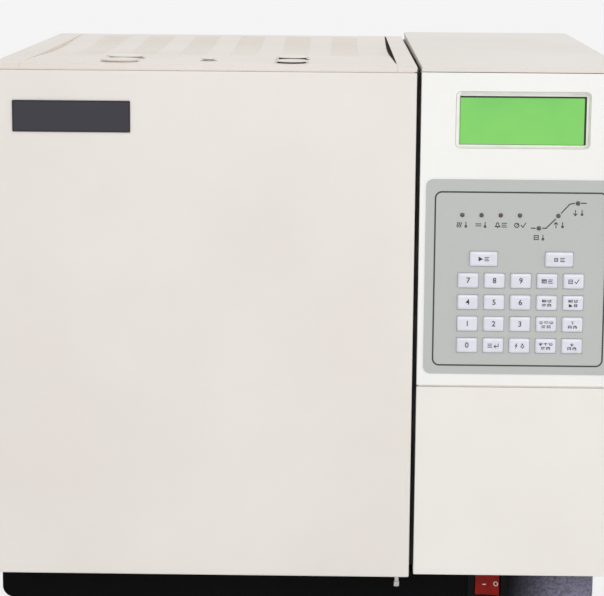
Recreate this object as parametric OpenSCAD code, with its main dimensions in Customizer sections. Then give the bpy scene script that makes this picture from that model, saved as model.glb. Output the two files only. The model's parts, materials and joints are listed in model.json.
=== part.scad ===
// A bench gas chromatograph: an oven section with a hinged door on the left, and on the right a
// control column with a keypad panel above and the door of the gas-control compartment below.
// X runs to the right, Y to the rear, Z up. The origin is on the floor, at the middle of the
// whole instrument's width and depth. Every module draws in case coordinates, in which x = 0 is
// the left side, y = 0 the front face of the doors and z = 0 the floor; in_frame() moves them.

/* [Overall] */
// Width over the oven section and the control column
total_w = 520; // [490:1:640]
// Depth from the front of the doors to the back of the rear panel
total_d = 480; // [430:1:600]
// Height of the flat top above the floor
total_h = 470; // [456:1:570]

/* [Casework] */
// Thickness of the covers, pans and panels
sheet = 1.5; // [1:0.1:2]
// Clearance between neighbouring pieces of sheet metal
fit_gap = 0.3; // [0.2:0.05:0.5]
// Width of the control column's front
column_w = 167; // [160:1:200]
// Gap between the oven door and the control column
door_gap = 3.8; // [3:0.1:6]
// Height of the lip along the front of the top covers
lip_h = 4.3; // [3:0.1:6]
// Gap between that lip and the top of the oven door
lip_gap = 0.8; // [0.6:0.1:3]
// Rise of the column's top cover from front to rear
cover_rise = 3; // [0:0.5:6]
// Length of a cooling slot in a side panel
side_slot_l = 70; // [40:1:80]
// Width of a cooling slot
side_slot_w = 3; // [2:0.5:4]
// Number of cooling slots in a group
side_slot_count = 14; // [4:1:14]
// Spacing of the cooling slots
side_slot_pitch = 9; // [6:0.5:10]

/* [Base] */
// Height of the rubber feet
foot_h = 9; // [8:1:20]
// Radius of the rubber feet
foot_r = 14; // [10:1:20]
// Distance of the feet from the tray's edges
foot_inset = 38; // [25:1:60]
// Height of the base tray
tray_h = 27.6; // [24:0.1:32]
// Distance of the tray's front behind the doors
tray_recess = 20; // [20:1:30]
// Distance of the tray's right end inside the case
tray_inset = 12; // [8:1:20]
// Distance of the tray's rear wall inside the rear panel
tray_rear_inset = 20; // [10:1:40]
// Radius of the tray's lower corners
tray_corner = 10; // [4:0.5:12]
// Rise of the tray's front behind the foot of the column
riser_h = 7; // [6:0.5:10]
// Depth of that riser
riser_d = 36; // [34:1:40]

/* [Oven] */
// Width of the oven chamber
oven_w = 260; // [220:1:270]
// Height of the oven chamber
oven_h = 270; // [230:1:280]
// Depth of the oven chamber
oven_d = 190; // [160:1:230]
// Thickness of the oven liner
liner_t = 1; // [0.8:0.1:1.5]
// Thickness of the insulation round the liner
insulation_t = 36; // [25:1:38]
// Radius of the fan impeller
fan_r = 70; // [50:1:80]
// Width of the fan's blades
fan_blade_w = 18; // [12:1:24]
// Radius of the fan's shaft
fan_shaft_r = 4; // [3:0.5:6]
// Radius of the fan motor
motor_r = 38; // [30:1:45]
// Length of the fan motor
motor_l = 62; // [45:1:80]
// Radius of the heater's turns
heater_r = 90; // [85:1:100]
// Radius of the heater's rod
heater_rod_r = 2.5; // [2:0.25:4]
// Radius of the wound capillary column
winding_r = 75; // [60:1:80]

/* [Name plate] */
// Width of the bare name plate
name_plate_w = 97; // [60:1:120]
// Height of the name plate
name_plate_h = 26; // [16:1:40]
// Thickness of the name plate
name_plate_t = 1; // [0.5:0.1:2]
// Distance of the name plate from the door's left edge
name_plate_x = 17.8; // [10:0.1:60]
// Distance of the name plate below the door's top edge
name_plate_top = 24.8; // [10:0.1:60]

/* [Oven door] */
// Depth of the door from its front face to the back of its folded edges
door_d = 35; // [30:1:40]
// Clearance under the door
door_clear = 0.6; // [0.6:0.1:2]
// Radius of the door's hinge pins
door_pin_r = 3; // [2:0.25:4]
// Distance of the hinge line from the door's left edge
door_pin_x = 5; // [4.5:0.25:6]
// Distance of the hinge line from the back of the door's folded edges
door_pin_y = 4; // [3.5:0.25:5]
// Distance that the door's inner plug stands into the oven
plug_reach = 8; // [4:1:12]
// Clearance between the plug and the oven's walls
plug_clear = 4; // [3:0.5:8]
// Width of the gasket's strip
gasket_w = 14; // [10:1:18]
// Radius of the latch pin
latch_r = 2.2; // [1.5:0.1:3]
// Radius of the latch pin's tip
latch_tip_r = 2.8; // [1.5:0.1:4]
// Length of the latch pin's tip
latch_tip_l = 4.5; // [2:0.1:6]
// Length of the latch pin that shows below the door
latch_drop = 11; // [8:0.1:14]
// Distance of the latch pin from the door's right edge
latch_edge = 10; // [5:0.5:12]
// Distance of the latch pin behind the door's front face
latch_y = 12; // [8:0.5:14]

/* [Top lid] */
// Width of the left cheek beside the lid
cheek_left_w = 23.7; // [20:0.1:30]
// Width of the right cheek beside the lid
cheek_right_w = 15.9; // [14:0.1:24]
// Distance of the lid's rear edge in front of the rear panel's back
lid_rear_gap = 28; // [26:1:40]
// Clearance between the lid and the cheeks
lid_seam = 0.7; // [0.4:0.1:1.2]
// Depth of the lid's shallow dish
lid_dish = 3; // [0:0.5:4]
// Radius of the lid's hinge pins
lid_pin_r = 2; // [1.5:0.25:3]
// Number of vent strips in the lid
vent_strips = 6; // [4:1:6]
// Spacing of the vent strips
vent_pitch = 45.7; // [40:0.1:48]
// Width of each vent strip
vent_w = 25; // [15:1:30]
// Width of each slot in a vent strip
vent_slot = 3; // [2:0.5:4]
// Spacing of the slots in a vent strip
vent_slot_pitch = 9; // [8:0.5:14]
// Distance of the first slot from the front
vent_start = 150; // [110:1:200]

/* [Ports under the lid] */
// Distance of the outer ports behind the front
outer_port_y = 84; // [76:1:92]
// Distance of the small port behind the front
small_port_y = 54; // [54:1:60]
// Sideways distance of the outer ports from the middle of the oven
port_spread = 71.4; // [60:0.1:73]
// Sideways shift of the small port from the middle of the oven
small_port_shift = 1.4; // [-4:0.1:4]
// Radius of the detector's cap
detector_cap_r = 16; // [12:0.5:18]
// Radius of the main injector's cap
main_cap_r = 13.8; // [10:0.1:18]
// Radius of the small injector's cap
small_cap_r = 6.4; // [5:0.1:9]
// Thickness of a cap's rim
cap_t = 1; // [0.8:0.1:2]
// Height of a cap's rim above the lid
cap_gap = 1.2; // [0.8:0.1:2]
// Distance that a cap's rim stands out from its neck
cap_rim = 2.4; // [1.5:0.1:3]
// Clearance between a cap and its hole in the lid
cap_clear = 0.8; // [0.5:0.1:1.5]
// Distance of the lid's two blanking plugs behind the front
plug_y = 34; // [25:1:40]
// Radius of a port's tube into the oven
port_tube_r = 5; // [4:0.5:6]
// Height of the blocks at the foot of the ports
port_block_h = 26; // [15:1:40]

/* [Control panel] */
// Height of the control panel from the seam to the top cover
panel_h = 261; // [250:1:290]
// Width of the seam below the control panel
seam_gap = 1.5; // [1:0.1:3]
// Width of the display window
window_w = 110; // [100:1:120]
// Height of the display window
window_h = 46.5; // [40:0.5:56]
// Height of the window's middle above the seam
window_z = 222.2; // [210:0.1:226]
// Radius of the window's corners
window_corner = 4; // [2:0.5:6]
// Distance of the window glass behind the panel's face
window_recess = 5; // [3:0.5:7]
// Margin between the keypad plate and the edges of the column
plate_margin = 5.2; // [3:0.1:10]
// Height of the keypad plate
plate_h = 163; // [160:1:175]
// Height of the keypad plate's lower edge above the seam
plate_z = 10.4; // [8:0.1:14]
// Thickness of the keypad plate
plate_t = 0.8; // [0.6:0.1:1.2]
// Radius of the keypad plate's corners
plate_corner = 6; // [3:0.5:8]

/* [Keys] */
// Width of a key
key_w = 17; // [14:0.5:18]
// Width of the run and stop keys
wide_key_w = 23; // [20:0.5:30]
// Height of a key
key_h = 12.3; // [10:0.1:14]
// Spacing of the key columns
key_pitch_x = 21.8; // [20.6:0.1:24]
// Spacing of the key rows
key_pitch_z = 18.2; // [17:0.1:19]
// Height of the lowest key row above the seam
key_row_z = 34.8; // [30:0.1:38]
// Distance that the keys stand in front of the keypad plate
key_proud = 2.2; // [1.4:0.1:3]
// Clearance round a key in its hole
key_gap = 0.3; // [0.2:0.05:0.5]
// Travel of a key
key_travel = 0.8; // [0.5:0.1:1]
// Width of the rim that keeps a key behind the plate
key_rim = 1; // [0.8:0.1:1.2]
// Sideways distance of the run and stop keys from the middle of the keypad
wide_key_x = 31.2; // [28:0.1:34]

/* [Lamps] */
// Radius of an indicator lamp
lamp_r = 1.5; // [1:0.1:2]
// Clearance round a lamp in its hole
lamp_gap = 0.35; // [0.2:0.05:0.5]
// Spacing of the lamps
lamp_pitch = 15.8; // [14:0.1:17]
// Height of the lamp row above the seam
lamp_z = 143.9; // [140:0.1:150]
// Step between the three rising lamps
lamp_step = 10.5; // [8:0.1:12]

/* [Gas door] */
// Depth of the gas door
gas_door_d = 18; // [14:1:20]
// Clearance between the gas door and the tray's top level
gas_door_clear = 3.4; // [3:0.1:4]
// Radius of the gas door's hinge pins
gas_pin_r = 2.5; // [1.5:0.25:3]
// Distance of the gas door's hinge line from its right and rear edges
gas_pin_in = 4.5; // [4:0.25:5]
// Distance of the gas panel behind the front
gas_panel_y = 62; // [58:1:80]
// Radius of a pressure gauge
gauge_r = 21; // [15:0.5:25]
// Radius of a flow knob
knob_r = 12; // [8:0.5:16]
// Length of a flow knob
knob_l = 16; // [12:1:18]
// Radius of a flow knob's shaft
knob_shaft_r = 3; // [2:0.25:4]

/* [Mains switch] */
// Width of the switch's frame
switch_w = 33.8; // [28:0.1:36]
// Height of the switch's frame
switch_h = 25.5; // [22:0.1:26]
// Height of the switch's middle above the floor
switch_z = 28; // [26.5:0.1:29]
// Distance of the switch's middle from the column's left edge
switch_x = 64.5; // [40:0.5:90]
// Width of the rocker
rocker_w = 20.5; // [16:0.1:22]
// Height of the rocker
rocker_h = 20.4; // [16:0.1:21]
// Half of the angle through which the rocker turns
rocker_tilt = 8; // [5:1:10]

/* [Rear] */
// Distance that the rear fittings stand behind the rear panel
rear_reach = 20; // [18:1:30]
// Number of gas inlets
stub_count = 4; // [1:1:4]
// Spacing of the gas inlets
stub_pitch = 28; // [16:1:30]
// Radius of a gas inlet stub
stub_r = 1.5; // [1:0.1:3.2]
// Radius of a gas inlet's hexagonal union
union_r = 6; // [5:0.5:7]
// Width of the mains inlet's body
inlet_w = 27; // [24:1:30]
// Height of the mains inlet's body
inlet_h = 20; // [18:1:24]
// Length of a gas inlet stub
stub_l = 12; // [8:1:13]
// Width of the exhaust duct
duct_w = 120; // [80:1:140]
// Height of the exhaust duct
duct_h = 44; // [30:1:50]
// Thickness of the exhaust duct's wall
duct_wall = 1; // [0.8:0.1:2]
// Radius of the exhaust flap's pins
flap_pin_r = 1.5; // [1:0.1:2]

/* [Hidden] */
$fn = 64;
// Radial clearance of a pin or shaft in its bore
shaft_fit = 0.05;
// Radial clearance of a tube or shaft in a hole that it only passes through
hole_slack = 1;
// Overlap of the keypad plate on the panel behind it
plate_over = 8;
// Thickness of the circuit boards
board_t = 1.6;

// Levels
tray_top = foot_h + tray_h;
lip_z = total_h - lip_h;
seam_z = lip_z - panel_h;
door_z0 = tray_top + door_clear;
door_z1 = lip_z - lip_gap;
gas_z0 = tray_top + gas_door_clear;
gas_z1 = seam_z - seam_gap;
shell_z1 = lip_z - fit_gap;
riser_z = tray_top + riser_h;

// Widths
door_w = total_w - column_w - door_gap;
column_x = total_w - column_w;
column_mid = column_x + column_w / 2;
oven_mid = door_w / 2;
tray_w = total_w - tray_inset;
tray_y1 = total_d - tray_rear_inset;
inner_y1 = total_d - sheet - fit_gap;
divider_x = door_w + 0.7;

// The oven, from its liner outwards
front_y = door_d + 3;
chamber_y = front_y + sheet;
liner_x0 = oven_mid - oven_w / 2;
liner_x1 = oven_mid + oven_w / 2;
chamber_z0 = tray_top + fit_gap + insulation_t + liner_t;
chamber_z1 = chamber_z0 + oven_h;
chamber_y1 = chamber_y + oven_d;
chamber_mid = chamber_z0 + oven_h / 2;
insulation_y1 = chamber_y1 + liner_t + insulation_t;
deck_z = chamber_z1 + liner_t + insulation_t + fit_gap;
fan_y = chamber_y1 - fan_blade_w - 7;
baffle_y = fan_y - 8;
winding_y = baffle_y - 60;
winding_t = 8;
winding_w = 18;
duct_z = chamber_z0 + 12;
flap_x0 = oven_mid - duct_w / 2;
flap_z1 = duct_z + duct_h + 3;
flap_pivot = [total_d + 5, flap_z1 + 6];

// The oven door
door_pivot = [door_pin_x, door_d - door_pin_y];
plug_x0 = liner_x0 + plug_clear;
plug_x1 = liner_x1 - plug_clear;
plug_z0 = chamber_z0 + plug_clear;
plug_z1 = chamber_z1 - plug_clear;
latch_x = door_w - latch_edge;
latch_lift = 4;

// The top lid
lid_x0 = cheek_left_w + lid_seam;
lid_x1 = door_w - cheek_right_w - lid_seam;
lid_y1 = total_d - lid_rear_gap;
lid_flat = 38;
lid_pivot = [lid_y1 - 5, total_h - 7];
ear_r = 5;
ear_t = 3;
bridge_z = lid_pivot[1] - ear_r - 1;

// Each port: its place from the left and from the front, and its cap's radius.
detector_port = [oven_mid - port_spread, outer_port_y, detector_cap_r];
small_port = [oven_mid + small_port_shift, small_port_y, small_cap_r];
main_port = [oven_mid + port_spread, outer_port_y, main_cap_r];
ports = [detector_port, small_port, main_port];
rim_z = total_h + cap_gap;

// The control panel
panel_d = gas_door_d + 2.7;
window_mid = seam_z + window_z;
plate_x0 = column_x + plate_margin;
plate_x1 = total_w - plate_margin;
plate_z0 = seam_z + plate_z;
plate_z1 = plate_z0 + plate_h;
keypad_mid = column_mid + 1.2;
lamp_mid = column_mid - 0.8;
rim_y0 = 0.2;
rim_t = 0.8;
board_y = rim_y0 + rim_t + key_travel + 2.5;
glass_t = 2;

// Gas compartment and switch
side_y = panel_d + fit_gap;
gas_pivot = [total_w - gas_pin_in - 0.5, gas_door_d - gas_pin_in + 0.5];
switch_mid = column_x + switch_x;
rocker_pivot_y = tray_recess - 1;
knob_y = gas_panel_y - fit_gap - knob_l;
knobs = [column_x + 42, total_w - 42];
valve_z = gas_z0 + 52;
gauge_z = gas_z1 - 45;

// Rear fittings
inlet_x = total_w - 45;
inlet_z = tray_top + 40;
socket_x = column_mid;
socket_z = tray_top + 120;
stubs = [for (i = [0:stub_count - 1]) [column_x + 40 + i * stub_pitch, tray_top + 85]];

// How far the keys stand in front of the doors, and the middle of the whole depth
front_reach = plate_t + key_proud;
mid_y = (total_d + rear_reach - front_reach) / 2;

// Each key: its name, its column and row from the lower left, and whether it is a wide one
KEYS = [
    ["key_0", 0, 0, false], ["key_enter", 1, 0, false], ["key_ignite", 2, 0, false],
    ["key_bridge_current", 3, 0, false], ["key_down", 4, 0, false],
    ["key_1", 0, 1, false], ["key_2", 1, 1, false], ["key_3", 2, 1, false],
    ["key_flame_range", 3, 1, false], ["key_up", 4, 1, false],
    ["key_4", 0, 2, false], ["key_5", 1, 2, false], ["key_6", 2, 2, false],
    ["key_detector_set", 3, 2, false], ["key_detector_on", 4, 2, false],
    ["key_7", 0, 3, false], ["key_8", 1, 3, false], ["key_9", 2, 3, false],
    ["key_display", 3, 3, false], ["key_set", 4, 3, false],
    ["key_run", -1, 4, true], ["key_stop", 1, 4, true]
];

// ---- helpers -------------------------------------------------------------------------------

// Moves a piece from case coordinates to the part's own frame.
module in_frame() translate([-total_w / 2, -mid_y, 0]) children();

// A box between two opposite corners.
module slab(low, high) translate(low) cube(high - low);

// Round bars along each axis, from one coordinate to another.
module bar_x(y, z, x0, x1, r) translate([x0, y, z]) rotate([0, 90, 0]) cylinder(r = r, h = x1 - x0);
module bar_y(x, z, y0, y1, r) translate([x, y0, z]) rotate([-90, 0, 0]) cylinder(r = r, h = y1 - y0);
module bar_z(x, y, z0, z1, r) translate([x, y, z0]) cylinder(r = r, h = z1 - z0);

// A rounded rectangle, from its lower left corner.
module round_rect(w, h, r) {
    translate([r, 0]) square([w - 2 * r, h]);
    translate([0, r]) square([w, h - 2 * r]);
    for (x = [r, w - r], y = [r, h - r]) translate([x, y]) circle(r);
}

// An upright plate with rounded corners, given by its front view.
module front_plate(x0, z0, x1, z1, y0, y1, r)
    translate([x0, y1, z0]) rotate([90, 0, 0]) linear_extrude(y1 - y0)
        round_rect(x1 - x0, z1 - z0, r);

// A folded pan that is open at the back.
module pan(x0, z0, x1, z1, depth)
    difference() {
        slab([x0, 0, z0], [x1, depth, z1]);
        slab([x0 + sheet, sheet, z0 + sheet], [x1 - sheet, depth + 1, z1 - sheet]);
    }

// A side view in y and z, extruded from one x to another.
module side_view(x0, x1)
    translate([x0, 0, 0]) rotate([90, 0, 90]) linear_extrude(x1 - x0) children();

// A row of slots through an upright plate that faces along y or x.
module slots(count, pitch, size) for (i = [0:count - 1]) translate([0, 0, i * pitch]) cube(size);

// ---- base ----------------------------------------------------------------------------------

// Front view of the tray, with its lower corners rounded.
module tray_outline(inset) {
    w = tray_w - 2 * inset;
    h = tray_h - 2 * inset;
    r = tray_corner - inset;
    translate([inset, inset]) {
        translate([0, r]) square([w, h - r]);
        translate([r, 0]) square([w - 2 * r, h]);
        for (x = [r, w - r]) translate([x, r]) circle(r);
    }
}

module base_tray() in_frame() color([0.08, 0.08, 0.09]) difference() {
    union() {
        translate([0, tray_y1, foot_h]) rotate([90, 0, 0])
            linear_extrude(tray_y1 - tray_recess) tray_outline(0);
        slab([column_x, tray_recess, tray_top - sheet], [tray_w, tray_recess + riser_d, riser_z]);
    }
    translate([0, tray_y1 - sheet, foot_h]) rotate([90, 0, 0])
        linear_extrude(tray_y1 - tray_recess - 2 * sheet) tray_outline(sheet);
    slab([column_x + sheet, tray_recess + sheet, tray_top - sheet - 1],
         [tray_w - sheet, tray_recess + riser_d - sheet, riser_z - sheet]);
    slab([switch_mid - switch_w / 2 + 2.4, tray_recess - 1, switch_z - switch_h / 2 + 1],
         [switch_mid + switch_w / 2 - 2.4, tray_recess + sheet + 1, switch_z + switch_h / 2 - 1]);
}

module rubber_feet() in_frame() color([0.05, 0.05, 0.05])
    for (x = [foot_inset, tray_w - foot_inset], y = [tray_recess + foot_inset, tray_y1 - foot_inset])
        translate([x, y, 0]) {
            cylinder(r1 = foot_r - 2, r2 = foot_r, h = 3);
            translate([0, 0, 3]) cylinder(r = foot_r, h = foot_h - 3);
        }

// ---- outer panels --------------------------------------------------------------------------

// A group of cooling slots through a side panel.
module side_vents(x, y, z)
    translate([x, y, z]) slots(side_slot_count, side_slot_pitch, [4 * sheet, side_slot_l, side_slot_w]);

module left_side_panel() in_frame() color([0.9, 0.88, 0.85]) difference() {
    union() {
        slab([0, front_y, tray_top + fit_gap], [sheet, inner_y1, shell_z1]);
        slab([0, chamber_y + fit_gap, tray_top + fit_gap], [6, tray_y1, tray_top + fit_gap + sheet]);
    }
    slab([-1, lid_y1 + 2, bridge_z], [2 * sheet, total_d, total_h]);
    for (y = [inner_y1 - 175, inner_y1 - 90]) side_vents(-sheet, y, tray_top + 40);
}

module right_side_panel() in_frame() color([0.9, 0.88, 0.85]) difference() {
    union() {
        slab([total_w - sheet, side_y, tray_top + fit_gap], [total_w, inner_y1, shell_z1]);
        slab([tray_w - 10, tray_recess + riser_d + fit_gap, tray_top + fit_gap],
             [total_w, inner_y1, tray_top + fit_gap + sheet]);
    }
    for (y = [inner_y1 - 175, inner_y1 - 90], z = [tray_top + 40, shell_z1 - 160])
        side_vents(total_w - 3 * sheet, y, z);
}

module rear_panel() in_frame() color([0.85, 0.84, 0.82]) difference() {
    union() {
        slab([0, total_d - sheet, tray_top], [divider_x, total_d, bridge_z - sheet - fit_gap]);
        slab([divider_x - 1, total_d - sheet, tray_top], [total_w, total_d, shell_z1]);
    }
    slab([flap_x0, total_d - 3 * sheet, duct_z], [flap_x0 + duct_w, total_d + 1, duct_z + duct_h]);
    for (x = [oven_mid - 70, oven_mid + 10])
        translate([x, total_d - 2 * sheet, chamber_mid - 20]) slots(8, 9, [60, 4 * sheet, 3]);
    for (x = [column_mid - 60, column_mid - 5])
        translate([x, total_d - 2 * sheet, shell_z1 - 110]) slots(8, 9, [48, 4 * sheet, 3]);
    for (p = stubs) bar_y(p[0], p[1], total_d - 2 * sheet, total_d + sheet, union_r - 1.5);
    slab([inlet_x - inlet_w / 2, total_d - 2 * sheet, inlet_z - inlet_h / 2],
         [inlet_x + inlet_w / 2, total_d + sheet, inlet_z + inlet_h / 2]);
    slab([socket_x - 8, total_d - 2 * sheet, socket_z - 5], [socket_x + 8, total_d + sheet, socket_z + 5]);
}

// ---- chassis and oven ----------------------------------------------------------------------

module chassis_frame() in_frame() color([0.75, 0.76, 0.78]) difference() {
    union() {
        slab([sheet + fit_gap, front_y, tray_top], [divider_x + sheet, chamber_y, shell_z1]);
        slab([divider_x, front_y, tray_top], [divider_x + sheet, inner_y1, shell_z1]);
        slab([flap_x0 - duct_wall, insulation_y1 + fit_gap, duct_z - duct_wall],
             [flap_x0 + duct_w + duct_wall, inner_y1, duct_z + duct_h + duct_wall]);
        for (x = [flap_x0, flap_x0 + duct_w - 8])
            slab([x, insulation_y1 + 20, tray_top], [x + 8, insulation_y1 + 28, duct_z]);
    }
    slab([liner_x0, front_y - 1, chamber_z0], [liner_x1, chamber_y + 1, chamber_z1]);
    slab([flap_x0, insulation_y1, duct_z], [flap_x0 + duct_w, inner_y1 + 1, duct_z + duct_h]);
}

// Holes that the ports and the duct make in the liner, the insulation and the deck.
module port_holes(z0, z1, r) for (p = ports) bar_z(p[0], p[1], z0, z1, r);

module oven_liner() in_frame() color([0.78, 0.78, 0.76]) {
    difference() {
        slab([liner_x0 - liner_t, chamber_y, chamber_z0 - liner_t],
             [liner_x1 + liner_t, chamber_y1 + liner_t, chamber_z1 + liner_t]);
        slab([liner_x0, chamber_y - 1, chamber_z0], [liner_x1, chamber_y1, chamber_z1]);
        port_holes(chamber_z1 - 5, chamber_z1 + 5, port_tube_r + hole_slack);
        bar_y(oven_mid, chamber_mid, chamber_y1 - 5, chamber_y1 + 5, fan_shaft_r + hole_slack);
        slab([flap_x0, chamber_y1 - 5, duct_z], [flap_x0 + duct_w, chamber_y1 + 5, duct_z + duct_h]);
    }
    baffle();
}

// Round baffle in front of the fan, on four posts from the oven's rear wall.
module baffle() {
    post = heater_r + 10;
    difference() {
        bar_y(oven_mid, chamber_mid, baffle_y, baffle_y + liner_t, post + 12);
        bar_y(oven_mid, chamber_mid, baffle_y - 1, baffle_y + 2 * liner_t, 22);
        for (a = [0:20:340])
            translate([oven_mid + 45 * cos(a), baffle_y - 1, chamber_mid + 45 * sin(a)])
                rotate([-90, 0, 0]) cylinder(r = 5, h = 3 * liner_t);
    }
    for (a = [45:90:315])
        bar_y(oven_mid + post * cos(a), chamber_mid + post * sin(a), baffle_y, chamber_y1, 3);
}

module oven_insulation() in_frame() color([0.93, 0.92, 0.88]) difference() {
    slab([liner_x0 - liner_t - insulation_t, chamber_y, tray_top + fit_gap],
         [liner_x1 + liner_t + insulation_t, insulation_y1, deck_z - fit_gap]);
    slab([liner_x0 - liner_t, chamber_y - 1, chamber_z0 - liner_t],
         [liner_x1 + liner_t, chamber_y1 + liner_t, chamber_z1 + liner_t]);
    port_holes(chamber_z1, deck_z + 5, port_tube_r + hole_slack);
    bar_y(oven_mid, chamber_mid, chamber_y1, insulation_y1 + 5, fan_shaft_r + hole_slack);
    slab([flap_x0, chamber_y1, duct_z], [flap_x0 + duct_w, insulation_y1 + 5, duct_z + duct_h]);
}

module top_deck() in_frame() color([0.8, 0.8, 0.8]) difference() {
    union() {
        slab([sheet + fit_gap, chamber_y + fit_gap, deck_z], [divider_x - fit_gap, inner_y1, deck_z + sheet]);
        slab([sheet + fit_gap, chamber_y + fit_gap, deck_z], [2 * sheet + fit_gap, inner_y1, deck_z + 15]);
        slab([sheet + fit_gap, inner_y1 - sheet, deck_z], [divider_x - fit_gap, inner_y1, deck_z + 15]);
    }
    port_holes(deck_z - 5, deck_z + 5, port_tube_r + hole_slack);
}

module fan_motor() in_frame() color([0.35, 0.36, 0.38]) {
    difference() {
        union() {
            bar_y(oven_mid, chamber_mid, insulation_y1 + 8, insulation_y1 + 8 + motor_l, motor_r);
            bar_y(oven_mid, chamber_mid, insulation_y1 + 8 + motor_l - 1, insulation_y1 + 14 + motor_l, 14);
            for (a = [30:60:330])
                bar_y(oven_mid + (motor_r - 6) * cos(a), chamber_mid + (motor_r - 6) * sin(a),
                      insulation_y1 + fit_gap, insulation_y1 + 9, 4);
        }
        bar_y(oven_mid, chamber_mid, insulation_y1, insulation_y1 + motor_l, fan_shaft_r + shaft_fit);
    }
}

module fan_impeller() in_frame() color([0.7, 0.7, 0.7]) {
    bar_y(oven_mid, chamber_mid, fan_y - 3, insulation_y1 + motor_l - 4, fan_shaft_r);
    bar_y(oven_mid, chamber_mid, fan_y - 2, fan_y + fan_blade_w, 11);
    bar_y(oven_mid, chamber_mid, fan_y + fan_blade_w - 1.5, fan_y + fan_blade_w, fan_r);
    for (a = [0:36:324])
        translate([oven_mid, fan_y, chamber_mid]) rotate([0, a, 0])
            translate([20, 0, -0.6]) cube([fan_r - 20, fan_blade_w, 1.2]);
}

module heater_coil() in_frame() color([0.45, 0.36, 0.3]) {
    turns = 3;
    for (i = [0:turns - 1])
        translate([oven_mid, fan_y + 1 + i * 7, chamber_mid]) rotate([-90, 0, 0])
            rotate_extrude() translate([heater_r, 0]) circle(heater_rod_r);
    for (a = [0, 180])
        translate([oven_mid, baffle_y + liner_t, chamber_mid]) rotate([0, a, 0])
            translate([heater_r - 3, 0, -2]) cube([6, chamber_y1 - baffle_y - liner_t, 4]);
}

module chromatography_column() in_frame() color([0.75, 0.6, 0.35]) {
    translate([oven_mid, winding_y, chamber_mid]) rotate([-90, 0, 0])
        rotate_extrude() translate([winding_r - winding_t, 0]) square([winding_t, winding_w]);
    for (a = [0:60:300])
        bar_y(oven_mid + (winding_r - winding_t - 1) * cos(a), chamber_mid + (winding_r - winding_t - 1) * sin(a),
              winding_y - 3, a % 120 == 0 ? baffle_y : winding_y + winding_w + 3, 2);
    for (p = [detector_port, main_port]) column_lead(p[0], p[1]);
}

// Lead from the winding to a port: up, forward under the oven's roof and up into the port.
module column_lead(x, port_y) {
    y = winding_y + winding_w / 2;
    z0 = chamber_mid + sqrt(pow(winding_r, 2) - pow(port_spread, 2)) - 3;
    lead_z = chamber_z1 - 10;
    lead_r = 0.8;
    stub = lead_r + 0.3;
    bar_z(x, y, z0, lead_z + stub, stub);
    bar_y(x, lead_z, port_y, y, lead_r);
    bar_z(x, port_y, lead_z - stub, chamber_z1 - 4, stub);
}

// ---- ports under the lid -------------------------------------------------------------------

// A port: a tube into the oven, a block on the deck, a neck and a rimmed cap above the lid.
module port(p, block) {
    difference() {
        bar_z(p[0], p[1], chamber_z1 - 4, deck_z + sheet + 2, port_tube_r);
        bar_z(p[0], p[1], chamber_z1 - 5, chamber_z1 + 10, 0.85);
    }
    slab([p[0] - block, max(p[1] - block, chamber_y + 1), deck_z + sheet],
         [p[0] + block, p[1] + block, deck_z + sheet + port_block_h]);
    bar_z(p[0], p[1], deck_z + sheet + port_block_h - 1, rim_z + cap_t / 2, p[2] - cap_rim);
    bar_z(p[0], p[1], rim_z, rim_z + cap_t, p[2]);
}

module injectors() in_frame() color([0.8, 0.8, 0.8]) {
    port(main_port, 18);
    port(small_port, 12);
}

module detectors() in_frame() color([0.82, 0.82, 0.82]) {
    port(detector_port, 18);
    translate([oven_mid - 110, 170, deck_z + sheet]) {
        cube([64, 64, 40]);
        for (x = [16, 48], y = [16, 48]) translate([x, y, 39]) cylinder(r = 4, h = 6);
    }
}

// ---- top -----------------------------------------------------------------------------------

module top_frame() in_frame() color([0.89, 0.87, 0.85]) difference() {
    union() {
        for (c = [[0, cheek_left_w], [door_w - cheek_right_w, door_w]]) {
            slab([c[0], 0, total_h - sheet], [c[1], lid_y1 + 2, total_h]);
            slab([c[0], 0, lip_z], [c[1], sheet, total_h]);
            slab([c[0], lid_y1 + 2 - sheet, lip_z], [c[1], lid_y1 + 2, total_h]);
        }
        slab([0, 0, lip_z], [sheet, lid_y1 + 2, total_h]);
        slab([door_w - sheet, 0, lip_z], [door_w, lid_y1 + 2, total_h]);
        for (x = [cheek_left_w - sheet, door_w - cheek_right_w]) {
            slab([x, lid_y1 - 22, bridge_z - sheet], [x + sheet, lid_y1 + 2, total_h]);
        }
        slab([sheet + fit_gap, lid_y1 - 22, bridge_z - sheet], [door_w, inner_y1, bridge_z]);
    }
    bar_x(lid_pivot[0], lid_pivot[1], -1, door_w + 1, lid_pin_r);
}

// Height of the lid's upper surface at a distance from the front.
function lid_top(y) = y <= lid_flat ? total_h
    : total_h - lid_dish * pow(sin(180 * (y - lid_flat) / (lid_y1 - lid_flat)), 2);

// Side view of the lid between two distances from the front.
module lid_section(y0, y1, steps) {
    ys = [for (i = [0:steps]) y0 + (y1 - y0) * i / steps];
    polygon(concat([for (y = ys) [y, lid_top(y)]],
                   [for (i = [steps:-1:0]) [ys[i], lid_top(ys[i]) - sheet]]));
}

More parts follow.
